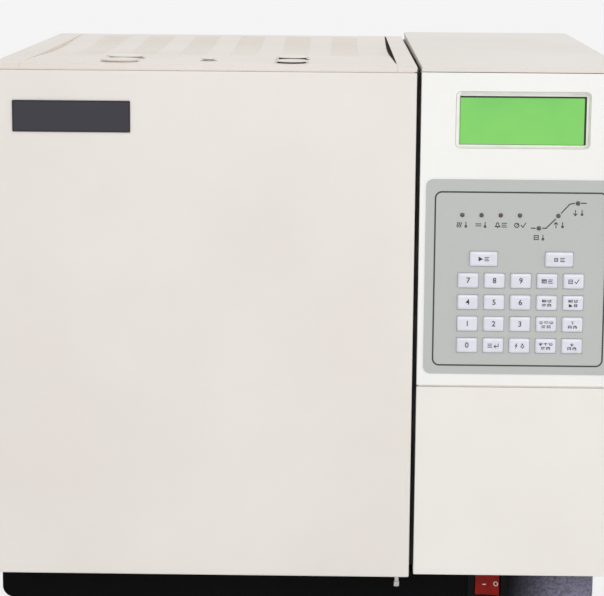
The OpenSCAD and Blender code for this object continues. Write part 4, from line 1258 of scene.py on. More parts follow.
@dataclass
class Oven(Assembly):
    """The oven's chamber, its wool, fan and heater, and the wound capillary column."""

    looks: ClassVar = (
        ("oven_liner", COVER.liner, 0.0),
        ("oven_insulation", COVER.wool, 1.5),
        ("chassis_frame", COVER.zinc, 0.0),
        ("fan_motor", COVER.motor, 1.0),
        ("fan_impeller", COVER.aluminium, 0.0),
        ("heater_coil", COVER.heater, 0.0),
        ("door_gasket", COVER.braid, 0.8),
    )
    middle: Flat = (174.6, 208.9)
    cage_y: Span = (133.5, 157.5)
    hoop_radius: float = 68.0
    hoop_wire: float = 1.1
    rods: int = 6
    rod_radius: float = 66.0
    rod_wire: float = 1.6
    baffle_y: float = 196.5
    ties: tuple[float, ...] = (30.0, 150.0, 270.0)
    tie_radius: float = 71.5
    tie_reach: Span = (3.1, 9.6)
    tie_wire: float = 0.7
    turns: int = 11
    layers: Span = (70.8, 73.0)
    winding_y: Span = (138.0, 153.0)
    wound_tube: float = 0.75
    most_lean: float = 0.5
    most_swell: float = 0.35
    seed: int = 7
    lead_y: float = 145.5
    lead_tube: float = 0.8
    lead_bend: float = 9.0
    spread: float = 71.4
    port_y: float = 84.0
    roof_z: float = 333.9

    def make(self) -> None:
        """The column on its cage, with the nuts of its ports."""
        self.make_cage()
        self.make_winding()
        self.make_nuts()

    def make_cage(self) -> None:
        """The wire cage: two hoops, the rods between them, and the ties round the turns."""
        front, back = self.cage_y
        form = Form()
        for y in self.cage_y:
            hoop = circle(self.middle, self.hoop_radius, 72)
            form.tube([(x, y, z) for x, z in hoop], self.hoop_wire, 8, closed=True)
        for number, (x, z) in enumerate(circle(self.middle, self.rod_radius, self.rods)):
            end = back if number % 2 else self.baffle_y
            form.tube([(x, front, z), (x, end, z)], self.rod_wire, 12)
        form.finish = 1
        for degrees in self.ties:
            form.tube(self._tie(degrees), self.tie_wire, 8, closed=True)
        form.piece("column_cage", "cabinet", [COVER.steel, COVER.brass], "steel")

    def _tie(self, degrees: float) -> list[Point]:
        """The wire loop that holds the turns together at one place.

        Args:
            degrees: Where it is round the winding.

        Returns:
            The loop's points.
        """
        points = []
        for out, along in circle((0.0, 0.0), 1.0, 20):
            x, z = polar(self.middle, self.tie_radius + self.tie_reach[0] * out, degrees)
            points.append((x, self.lead_y + self.tie_reach[1] * along, z))
        return points

    def make_winding(self) -> None:
        """The column: turns of coated tube in two layers, and a lead to each port."""
        form = Form()
        chance = random.Random(self.seed)
        for number, y in enumerate(spaced(*self.winding_y, self.turns)):
            for layer in self.layers:
                lean = chance.uniform(-self.most_lean, self.most_lean)
                swell = chance.uniform(-self.most_swell, self.most_swell)
                line = []
                for degrees in range(0, 360, 4):
                    sway = swell * math.sin(math.radians(2 * degrees + 40 * number))
                    x, z = polar(self.middle, layer + sway, degrees)
                    line.append((x, y + lean * math.sin(math.radians(degrees)), z))
                form.tube(line, self.wound_tube, 8, closed=True)
        for side in (-1.0, 1.0):
            form.tube(self._lead(side), self.lead_tube)
        made = form.piece("capillary_winding", "cabinet", [COVER.silica], "fused_silica")
        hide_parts("chromatography_column")

    def _lead(self, side: float) -> list[Point]:
        """The lead from the winding to the port on one side.

        Args:
            side: -1 for the left port, or 1 for the right one.

        Returns:
            Its centre line's points.
        """
        x, bend = self.middle[0] + side * self.spread, self.lead_bend
        start = self.middle[1] + math.sqrt(self.layers[1] ** 2 - self.spread**2)
        upper, near = self.roof_z - bend, self.port_y + bend
        arc = [math.radians(15 * i) for i in range(1, 7)]
        points = [(self.lead_y, z) for z in spaced(start, upper, 5)]
        points += [(self.lead_y - bend * (1 - math.cos(t)), upper + bend * math.sin(t)) for t in arc]
        points += [(y, self.roof_z) for y in spaced(self.lead_y - bend, near, 5)[1:]]
        points += [(near - bend * math.sin(t), self.roof_z + 0.6 * math.sin(t)) for t in arc]
        points.append((self.port_y, self.roof_z + 3.0))
        return [(x, y, z) for y, z in points]

    def make_nuts(self) -> None:
        """A hexagon nut on each port."""
        form = Form()
        z = self.roof_z
        profile = [(1.0, z - 0.5), (3.4, z), (3.8, z + 0.6), (3.8, z + 5.3), (3.2, z + 5.9)]
        for side in (-1.0, 1.0):
            form.turned(profile, (self.middle[0] + side * self.spread, self.port_y), Axis.Z, 6)
        form.piece("column_nuts", "cabinet", [COVER.brass], "brass", 0.2)


@dataclass
class OvenDoor(Assembly):
    """The oven's door with its inner box, bare name plate and pins, and a black strip of painted shade in
    its gap.
    """

    looks: ClassVar = (
        ("oven_door_skin", COVER.cream, 1.3),
        ("oven_door_plug", COVER.stainless, 0.8),
        ("name_plate", COVER.name_plate, 0.25),
        ("latch_pin", COVER.steel, 0.3),
        ("hinge_pins", COVER.steel, 0.0),
    )
    plate: Box = (17.8, 414.1, 114.8, 440.1)
    plate_front: float = -1.0
    line_insets: Span = (0.5, 1.4)
    gap: Box = (350.3, 7.0, 352.9, 17.0)
    gap_z: Span = (46.0, 464.5)
    gap_slant: float = 1.5

    def make(self) -> None:
        """A fine line round the name plate, and a black strip of painted shade between the doors, which
        tapers inwards.
        """
        edge, core = self.line_insets
        form = Form()
        form.frame(
            rounded(inset(self.plate, edge), 0.8, 3),
            rounded(inset(self.plate, core), 0.5, 3),
            *printed(self.plate_front, buried=0.3),
        )
        form.piece("name_plate_line", "oven_door", [COVER.plate_line], "name_plate")
        # Painted shade: a black strip that darkens the gap between the two doors.
        left, front, right, back = self.gap
        slant = self.gap_slant
        outline = [(left, front + slant), (right, front), (right, back), (left, back - slant)]
        seal = Form()
        seal.prism(outline, *self.gap_z, Axis.Z)
        seal.piece("gap_seal", "cabinet", [COVER.foam], "rubber", 0.4)


@dataclass
class Top(Assembly):
    """The cheeks, the vented lid, the column's cover and the deck, with strips and collars that paint shade
    and light.
    """

    looks: ClassVar = (
        ("top_frame", COVER.lid_cream, 0.5),
        ("top_lid", COVER.lid_cream, 0.15, True),
        ("column_top_cover", COVER.cover_ivory, 0.9, True),
        ("top_deck", COVER.zinc, 0.4),
        ("injectors", COVER.cream, 0.3),
        ("detectors", COVER.cream, 0.3),
    )
    # Painted light and shade: the pale strips lighten the shade in the seams over the door and round the
    # lid, and the umber one darkens the right cheek's seam.
    strips: tuple[Strip, ...] = (
        Strip("door_top_seal", ((2.0, 347.2), (0.5, 8.0), (465.05, 465.68)), COVER.pale_foam, "cream_paint"),
        Strip("left_cheek_strip", ((23.72, 23.95), (38.0, 450.0), (465.2, 469.85)), COVER.silicone),
        Strip("right_cheek_strip", ((333.05, 333.28), (38.0, 450.0), (465.2, 469.85)), COVER.umber_foam),
        Strip("left_lip_strip", ((23.72, 24.0), (0.4, 37.8), (465.9, 469.7)), COVER.pale_foam),
        Strip("right_lip_strip", ((333.0, 333.28), (0.4, 37.8), (465.9, 469.7)), COVER.pale_foam),
    )
    dish_y: Span = (38.0, 452.0)
    dish_depth: float = 3.0
    gauze_rows: int = 6
    gauze_middle: float = 176.6
    gauze_pitch: float = 45.7
    gauze_half: float = 13.5
    gauze_y: Span = (148.0, 430.0)
    gauze_drop: float = 0.15
    gauze_t: float = 1.2
    # Painted shadow: a dark strip on the lid's dish at its right edge, where the right cheek's shadow falls.
    seal_edge: float = 332.5
    seal_width: Span = (0.25, 1.9)
    seal_margin: float = 4.0
    seal_z: Span = (-0.6, 0.12)
    collar_z: Span = (468.9, 471.15)
    collar_gap: float = 0.03
    collar_t: float = 0.35
    # Painted shade and light: each collar colours the shadow gap at a cap's foot, umber where it is to look
    # dark and pale where it is to look light.
    collars: tuple[tuple[str, str, Flat, float, Finish], ...] = (
        ("detector_collar", "cabinet", (103.2, 84.0), 13.6, COVER.silicone),
        ("left_plug_collar", "lid", (103.2, 34.0), 13.6, COVER.silicone),
        ("injector_collar", "cabinet", (246.0, 84.0), 11.4, COVER.umber_foam),
        ("right_plug_collar", "lid", (246.0, 34.0), 11.4, COVER.umber_foam),
        ("small_port_collar", "cabinet", (176.0, 54.0), 4.0, COVER.silicone),
    )

    def make(self) -> None:
        """The strips of painted shade and light, the vents' gauze, and under each cap a collar that paints
        the shade at its foot.
        """
        for strip in self.strips:
            strip.make()
        self.make_gauze()
        self.make_lid_seal()
        low, high = self.collar_z
        for name, body, middle, radius, finish in self.collars:
            inner, outer = radius + self.collar_gap, radius + self.collar_t
            form = Form()
            ring = [(inner, low), (outer, low), (outer, high), (inner, high)]
            form.turned(ring, middle, Axis.Z, 48, closed=True)
            form.piece(name, body, [finish], "rubber")

    def _dip(self, y: float) -> float:
        """The fall of the lid's dish along y, which is 0 at its ends and 1 in the middle."""
        return math.sin(math.pi * (y - self.dish_y[0]) / (self.dish_y[1] - self.dish_y[0]))

    def _lid_z(self, y: float) -> float:
        """The height of the lid's dished face."""
        return TOP_Z - self.dish_depth * self._dip(y) ** 2

    def make_gauze(self) -> None:
        """A strip of gauze under each row of the lid's vent slots, which follows the lid's dish."""
        form = Form()
        for number in range(self.gauze_rows):
            middle = self.gauze_middle + (number - (self.gauze_rows - 1) / 2) * self.gauze_pitch
            left, right = middle - self.gauze_half, middle + self.gauze_half
            levels = []
            for y in spaced(*self.gauze_y, 13):
                top = self._lid_z(y) - self.gauze_drop
                levels.append((rounded((left, top - self.gauze_t, right, top), 0.1, 1), y))
            form.stack(levels)
        form.piece("vent_gauze", "lid", [COVER.gauze], "cream_paint")

    def make_lid_seal(self) -> None:
        """A dark strip of painted shade along the lid's right edge, which is widest where the dish is
        deepest.
        """
        start, end = self.dish_y
        least, more = self.seal_width
        low, high = self.seal_z
        levels = []
        for y in spaced(start + self.seal_margin, end - self.seal_margin, 25):
            left, top = self.seal_edge - least - more * self._dip(y), self._lid_z(y)
            levels.append((corners((left, top + low, self.seal_edge, top + high)), y))
        form = Form()
        form.stack(levels)
        form.piece("lid_edge_seal", "lid", [COVER.umber_foam], "rubber")


@dataclass
class ControlPanel(Assembly):
    """The control panel with its display and the lamps, and a pale strip of painted light in its lower seam.
    """

    looks: ClassVar = (("control_panel", COVER.panel, 0.6), ("panel_boards", COVER.board, 0.0))
    opening: Box = (381.5, 403.65, 491.5, 450.15)
    pane: Box = (385.3, 406.6, 486.9, 444.8)
    mask_insets: Box = (-0.4, -0.3, -1.7, -1.45)
    corner: float = 0.8
    sheet_y: float = 1.6
    lip_y: float = 0.3
    floor_y: float = 4.6
    pane_y: float = 5.4
    lamp_places: tuple[Flat, ...] = (
        (388.3, 348.6), (404.1, 348.6), (419.9, 348.6), (435.7, 348.6), (451.5, 338.1), (467.3, 348.6),
        (483.1, 359.1),
    )  # fmt: skip
    lens_front: float = -1.9
    alarm: int = 2
    # Painted light: a pale strip behind the seam under the panel, which lightens the seam's shadow.
    seal: Strip = Strip("seam_seal", ((354.6, 518.4), (1.8, 9.0), (203.4, 204.66)), COVER.pale_foam)

    def make(self) -> None:
        """The display, the lamps' lenses and the seam's pale strip of painted light."""
        self.make_display()
        self.make_lamps()
        self.seal.make()

    def make_display(self) -> None:
        """The display: a bezel that fills the opening, a dark mask and the lit pane."""
        outside = rounded(inset(self.opening, -3.5), 6.0)
        walls = rounded(inset(self.opening, 0.2), 3.8)
        flush = rounded(inset(self.opening, 2.5, 0.5, 0.5, 0.5), 3.2)
        floor = rounded(inset(self.opening, 3.1, 1.4, 1.4, 1.4), 2.6)
        inner = rounded(inset(self.pane, *self.mask_insets), self.corner)
        back_y = self.pane_y + 1.6
        levels = [
            (outside, self.sheet_y), (walls, self.sheet_y), (walls, self.lip_y), (flush, self.lip_y),
            (floor, self.floor_y), (inner, self.floor_y), (inner, back_y), (outside, back_y),
        ]  # fmt: skip
        bezel = Form()
        bezel.stack(levels, closed=True)
        bezel_piece = bezel.piece("display_bezel", "cabinet", [COVER.bezel], "plate_grey", 0.25)
        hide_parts("display_window")
        mask = Form()
        mask.frame(inner, rounded(self.pane, self.corner), self.pane_y - 0.5, self.pane_y + 1.0)
        mask.piece("display_mask", "cabinet", [COVER.mask], "switch_black")
        pane = Form()
        pane.prism(rounded(inset(self.pane, -0.1), self.corner), self.pane_y, self.pane_y + 1.4)
        pane.piece("display_pane", "cabinet", [COVER.pane], "window", 0.15)

    def make_lamps(self) -> None:
        """A domed lens over each lamp."""
        y = self.lens_front
        profile = [(1.72, -0.5), (1.72, -1.05), (1.55, y + 0.45), (1.1, y + 0.15), (0.5, y + 0.02)]
        for number, place in enumerate(self.lamp_places):
            form = Form()
            form.turned(profile, place, count=24)
            finish = COVER.alarm_lamp if number == self.alarm else COVER.lamp
            form.piece(f"lamp_lens_{number + 1}", "cabinet", [finish], "knob_plastic")


@dataclass(frozen=True)
class Key:
    """A key: its CAD name, its column and row from the lower left, and what is printed on it."""

    name: str
    column: float
    row: float
    figure: str = ""
    marks: tuple[tuple[Pictogram, ...], ...] = ()
    wide: bool = False


P = Pictogram
KEYS = (
    Key("key_0", 0, 0, "0"),
    Key("key_enter", 1, 0, marks=((P.BARS, P.ENTER),)),
    Key("key_ignite", 2, 0, marks=((P.SPARK, P.FLAME),)),
    Key("key_bridge_current", 3, 0, marks=((P.BRIDGE, P.PLUS, P.DIAL), (P.BARS, P.BOX))),
    Key("key_down", 4, 0, marks=((P.DOWN,), (P.BOX, P.DIAL))),
    Key("key_1", 0, 1, "1"),
    Key("key_2", 1, 1, "2"),
    Key("key_3", 2, 1, "3"),
    Key("key_flame_range", 3, 1, marks=((P.FLAME, P.STEADY, P.DIAL), (P.BARS, P.BOX))),
    Key("key_up", 4, 1, marks=((P.UP,), (P.BOX, P.DIAL))),
    Key("key_4", 0, 2, "4"),
    Key("key_5", 1, 2, "5"),
    Key("key_6", 2, 2, "6"),
    Key("key_detector_set", 3, 2, marks=((P.SCREEN, P.DIAL), (P.BARS, P.BOX))),
    Key("key_detector_on", 4, 2, marks=((P.SCREEN, P.DIAL), (P.RUN, P.STOP))),
    Key("key_7", 0, 3, "7"),
    Key("key_8", 1, 3, "8"),
    Key("key_9", 2, 3, "9"),
    Key("key_display", 3, 3, marks=((P.SCREEN, P.BARS),)),
    Key("key_set", 4, 3, marks=((P.BOX, P.TICK),)),
    Key("key_run", -1, 4, marks=((P.RUN, P.BARS),), wide=True),
    Key("key_stop", 1, 4, marks=((P.STOP, P.BARS),), wide=True),
)


@dataclass
class Keypad(Assembly):
    """The keypad's plate with its print, and the keys.

    Each level of a key's cap is how far it is drawn in at the sides, the foot and the head, where it
    is along y, counted from the crest in the face's levels, and its corners' radius. Rows of marks are
    half of a mark's size, the gap from mark to mark, and each row's height above the key's middle.
    """

    looks: ClassVar = (("keypad_plate", COVER.plate, 0.0),)
    middle: float = 437.7
    pitch: Flat = (21.8, 18.2)
    row_z: float = SEAM_Z + 34.8
    wide_x: float = 31.2
    half: Flat = (8.5, 6.15)
    wide_half: Flat = (11.5, 6.15)
    crest: float = -3.0
    rim_levels: tuple[tuple[float, ...], ...] = (
        (-1.0, -1.0, -1.0, 1.0, 0.5), (-1.0, -1.0, -1.0, 0.2, 0.5), (0.0, 0.0, 0.0, 0.2, 1.5),
    )  # fmt: skip
    face_levels: tuple[tuple[float, ...], ...] = (
        (0.0, 0.0, 0.0, 1.45, 1.5), (0.15, 0.18, 0.2, 1.05, 1.5), (0.7, 0.9, 1.1, 0.4, 1.5),
        (1.15, 1.55, 1.9, 0.08, 1.4), (1.5, 2.0, 2.4, 0.0, 1.4), (2.0, 2.5, 2.9, 0.05, 1.3),
        (3.4, 3.6, 3.8, 0.16, 1.0), (4.8, 4.6, 4.6, 0.2, 0.6),
    )  # fmt: skip
    face_drop: float = 0.2
    figure_size: float = 6.4
    print_width: float = 0.56
    one_row: tuple[float, float, tuple[float, ...]] = (2.1, 5.2, (0.0,))
    two_rows: tuple[float, float, tuple[float, ...]] = (1.75, 4.3, (2.15, -2.15))
    plate_y: float = -0.8
    border: Box = (365.3, SEAM_Z + 17.0, 507.6, SEAM_Z + 163.6)
    border_width: float = 1.3
    border_radius: float = 6.0
    slope_width: float = 0.85
    mark_pitch: float = 5.5
    mark_half: float = 2.4
    mark_width: float = 0.66
    lamp_marks: tuple[tuple[Flat, tuple[Pictogram, Pictogram]], ...] = (
        ((388.6, 340.5), (P.HEAT, P.THERMOMETER)),
        ((404.4, 340.5), (P.STEADY, P.THERMOMETER)),
        ((420.2, 340.5), (P.BELL, P.BARS)),
        ((436.0, 340.5), (P.DIAL, P.TICK)),
        ((452.3, 330.4), (P.BOX, P.THERMOMETER)),
        ((468.2, 340.9), (P.UP, P.THERMOMETER)),
        ((483.9, 351.2), (P.DOWN, P.THERMOMETER)),
    )
    slope: tuple[tuple[Flat, ...], ...] = (
        ((445.3, 338.2), (448.4, 338.2)),
        ((454.7, 338.2), (457.5, 338.3), (464.9, 345.9)),
        ((469.7, 351.0), (476.4, 358.4), (480.2, 359.2)),
        ((485.9, 359.3), (489.8, 359.3)),
    )

    def make(self) -> None:
        """Prints the plate and makes the keys."""
        self.print_plate()
        for key in KEYS:
            self.make_key(key)

    def print_plate(self) -> None:
        """The border line, the programme's slope and the marks under the lamps."""
        skin = printed(self.plate_y)
        width, radius = self.border_width, self.border_radius
        form = Form()
        inner = rounded(inset(self.border, width), radius - width, 8)
        form.frame(rounded(self.border, radius, 8), inner, *skin)
        form.finish = 1
        for line in self.slope:
            form.stroke(line, self.slope_width, skin)
        for (x, z), pair in self.lamp_marks:
            for side, mark in zip((-0.5, 0.5), pair):
                middle = (x + side * self.mark_pitch, z)
                mark.draw(form, middle, self.mark_half, self.mark_width, skin)
        form.piece("plate_print", "cabinet", [COVER.border_ink, COVER.plate_ink], "plate_grey")

    def _place(self, key: Key) -> Flat:
        """The middle of a key."""
        aside = key.column * self.wide_x if key.wide else (key.column - 2) * self.pitch[0]
        return (self.middle + aside, self.row_z + key.row * self.pitch[1])

    def make_key(self, key: Key) -> None:
        """A key: its cap with a bevelled rim and a dished face, the rim behind the plate and its print.

        Args:
            key: The key.
        """
        place, top = self._place(key), self.crest
        box = about(place, self.wide_half if key.wide else self.half)
        face = [(side, foot, head, top + y, radius) for side, foot, head, y, radius in self.face_levels]
        form = Form()
        form.stack([
            (rounded(inset(box, side, foot, side, head), radius), y)
            for side, foot, head, y, radius in (*self.rim_levels, *face)
        ])  # fmt: skip
        form.turned([(2.5, 0.9), (2.5, 3.2)], place, count=16)
        form.finish = 1
        self._print_key(form, key, place, printed(top + self.face_drop, 0.1, 0.1))
        finishes = [COVER.keycap, COVER.key_ink]
        made = form.piece(key.name + "_cap", key.name + "_body", finishes, "key_plastic", 0.0, 50.0)
        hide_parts(key.name)

    def _print_key(self, form: Form, key: Key, place: Flat, skin: Span) -> None:
        """A key's number, or its one or two rows of marks.

        Args:
            form: The mesh that it goes on.
            key: The key.
            place: The key's middle.
            skin: Where the print's face is, and where it is buried.
        """
        x, z = place
        if key.figure:
            form.figure(key.figure, self.figure_size, (x, z + 0.1), skin)
        half, gap, levels = self.two_rows if len(key.marks) > 1 else self.one_row
        for level, marks in zip(levels, key.marks):
            for number, mark in enumerate(marks):
                aside = (number - (len(marks) - 1) / 2) * gap
                mark.draw(form, (x + aside, z + level), half, self.print_width, skin)


@dataclass
class GasCompartment(Assembly):
    """The gas door, and behind it the panel with its gauges and flow knobs."""

    looks: ClassVar = (
        ("gas_door", COVER.ivory, 0.9),
        ("gas_panel", COVER.ivory, 0.4),
        ("flow_knob_left", COVER.knob, 0.4),
        ("flow_knob_right", COVER.knob, 0.4),
    )
    panel_y: float = 62.0
    columns: Span = (395.0, 478.0)
    sides: tuple[str, str] = ("left", "right")
    gauge_z: float = 158.2
    gauge_radius: float = 21.0
    dial_y: float = 42.8
    dial_radius: float = 18.5
    dial_start: float = 225.0
    ticks: int = 31
    tick_turn: float = 9.0
    ticks_to_figure: int = 5
    tick_radii: tuple[float, float, float] = (13.6, 15.0, 16.4)
    tick_widths: Span = (0.45, 0.25)
    figure_size: float = 4.0
    figure_radius: float = 10.6
    band_radius: float = 17.2
    needle: Span = (14.5, -5.0)
    needle_half: float = 0.9
    line_width: float = 0.8
    valve_z: float = 92.0
    knob_y: float = 45.7
    knob_start: float = 240.0
    pointer: Span = (2.5, 6.2)
    scale_steps: int = 11
    scale_turn: float = 30.0
    scale_radii: tuple[float, float, float] = (14.5, 17.5, 21.0)
    scale_width: float = 0.5
    flow_line_gaps: Span = (26.0, 24.0)
    screw_xs: tuple[float, float, float] = (361.0, 436.5, 511.0)
    screw_zs: Span = (54.0, 196.0)

    def make(self) -> None:
        """The gauges, the knobs' marks and the panel's print and screws."""
        cases = Form()
        for x in self.columns:
            self._case(cases, (x, self.gauge_z))
        case_piece = cases.piece("gauge_cases", "cabinet", [COVER.chrome], "gauge")
        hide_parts("pressure_gauges")
        for number, (x, side) in enumerate(zip(self.columns, self.sides)):
            self.make_dial(number + 1, (x, self.gauge_z))
            self.mark_knob(side, (x, self.valve_z))
        self.print_panel()

    def _case(self, form: Form, middle: Flat) -> None:
        """One gauge's case, with a rolled rim and its stem behind.

        Args:
            form: The mesh that it goes on.
            middle: Its middle.
        """
        r, y = self.gauge_radius, self.panel_y
        profile = [
            (r - 2.4, y - 19.0), (r - 2.2, y - 21.2), (r - 1.6, y - 21.9), (r - 0.8, y - 22.0),
            (r - 0.2, y - 21.3), (r, y - 20.2), (r, y - 18.5), (r - 1.2, y - 17.8), (r - 1.2, y - 1.5),
            (r - 2.0, y - 0.4), (6.0, y - 0.4), (5.5, y + 14.0), (4.8, y + 16.0), (0.5, y + 16.0),
            (0.5, y - 19.0),
        ]  # fmt: skip
        form.turned(profile, middle, count=48, closed=True)

    def make_dial(self, number: int, middle: Flat) -> None:
        """A gauge's face with its scale, needle and glass.

        Args:
            number: The gauge's number.
            middle: Its middle.
        """
        y, radius, start = self.dial_y, self.dial_radius, self.dial_start
        skin = printed(y, 0.08)
        long, short, rim = self.tick_radii
        face = Form()
        face.turned([(radius, y + 0.8), (radius, y), (0.4, y)], middle, count=48)
        face.finish = 1
        for tick in range(self.ticks):
            between = tick % self.ticks_to_figure > 0
            inner, degrees = short if between else long, start - self.tick_turn * tick
            line = [polar(middle, r, degrees) for r in (inner, rim)]
            face.stroke(line, self.tick_widths[between], skin)
        for step in range(self.ticks // self.ticks_to_figure + 1):
            degrees = start - self.tick_turn * self.ticks_to_figure * step
            face.figure(str(step), self.figure_size, polar(middle, self.figure_radius, degrees), skin)
        face.finish = 2
        band = [polar(middle, self.band_radius, degrees) for degrees in range(0, -50, -5)]
        face.stroke(band, self.line_width, printed(y))
        finishes = [COVER.dial, COVER.plate_ink, COVER.red_ink]
        face.piece(f"gauge_dial_{number}", "cabinet", finishes, "gauge")
        needle = Form()
        tip, tail = (polar(middle, r, start) for r in self.needle)
        heel = [polar(tail, self.needle_half, start + turn) for turn in (90, -90)]
        needle.prism([*heel, tip], y - 1.0, y - 0.6)
        needle.turned([(1.8, y - 0.2), (1.8, y - 1.2), (1.2, y - 1.5), (0.3, y - 1.5)], middle, count=20)
        needle.piece(f"gauge_needle_{number}", "cabinet", [COVER.knob], "gauge")
        glass = Form()
        r = radius - 0.1
        dome = [(r, y - 1.7), (r, y - 2.2), (12.0, y - 2.4), (0.4, y - 2.5), (0.4, y - 1.9)]
        glass.turned(dome, middle, count=48)
        glass.piece(f"gauge_glass_{number}", "cabinet", [COVER.clear], "window")

    def mark_knob(self, side: str, middle: Flat) -> None:
        """A knob's cap disc and its pointer line.

        Args:
            side: Which knob it is.
            middle: Its middle.
        """
        form = Form()
        y = self.knob_y
        form.turned([(7.4, y + 0.3), (7.4, y - 0.35), (6.9, y - 0.6), (0.4, y - 0.6)], middle, count=40)
        form.finish = 1
        pointer = [polar(middle, r, self.knob_start) for r in self.pointer]
        form.stroke(pointer, self.line_width, printed(y - 0.6, 0.1))
        form.piece(f"knob_cap_{side}", f"knob_{side}", [COVER.stainless, COVER.red_ink], "steel")

    def print_panel(self) -> None:
        """The scales round the knobs, the lines from the gauges, and the panel's screws."""
        form = Form()
        skin = printed(self.panel_y)
        inner, outer, figures = self.scale_radii
        above, below = self.flow_line_gaps
        for x in self.columns:
            middle = (x, self.valve_z)
            for step in range(self.scale_steps):
                degrees = self.knob_start - self.scale_turn * step
                form.stroke([polar(middle, r, degrees) for r in (inner, outer)], self.scale_width, skin)
                form.figure(str(step), self.figure_size, polar(middle, figures, degrees), skin)
            line = [(x, self.valve_z + above), (x, self.gauge_z - below)]
            form.stroke(line, self.line_width, skin)
        form.piece("gas_panel_print", "cabinet", [COVER.plate_ink], "panel_paint")
        screws = Form()
        for x in self.screw_xs:
            for z in self.screw_zs:
                screws.screw((x, z), self.panel_y, -1.0)
        screws.piece("gas_panel_screws", "cabinet", [COVER.steel], "steel")


@dataclass
class MainsSwitch(Assembly):
    """The rocker switch at the foot of the column."""

    looks: ClassVar = (("switch_housing", COVER.housing, 0.35), ("switch_rocker", COVER.rocker, 0.3))
    middle: Flat = (417.5, 28.0)
    pivot_y: float = 19.0
    tilt: float = 8.0
    crown: float = 2.4
    rise: float = 1.8
    half_width: float = 10.25
    line_width: float = 0.7

    def make(self) -> None:
        """The bar and the ring on the rocker."""
        form = Form()
        self._on_face(form, bar(-3.5, -1.3, -1.2))
        self._on_face(form, loop(*circle((7.4, 0.0), 1.7, 16)))
        form.piece("rocker_marks", "rocker", [COVER.white_ink], "switch_red")

    def _on_face(self, form: Form, line: Sequence[Flat]) -> None:
        """A line on the rocker's face, which leans with the rocker and rises towards its ends.

        Args:
            form: The mesh that it goes on.
            line: Its points, from the rocker's middle.
        """
        lean = math.radians(-self.tilt)
        c, s = math.cos(lean), math.sin(lean)
        for start, end in zip(line, line[1:]):
            rings = []
            for lift in (0.12, -0.3):
                ring = []
                for x, z in ribbon(start, end, self.line_width):
                    y = -self.crown - self.rise * abs(x) / self.half_width - lift
                    place = (self.middle[0] + x * c - y * s, self.pivot_y + x * s + y * c)
                    ring.append((*place, self.middle[1] + z))
                rings.append(ring)
            form.loft(rings)


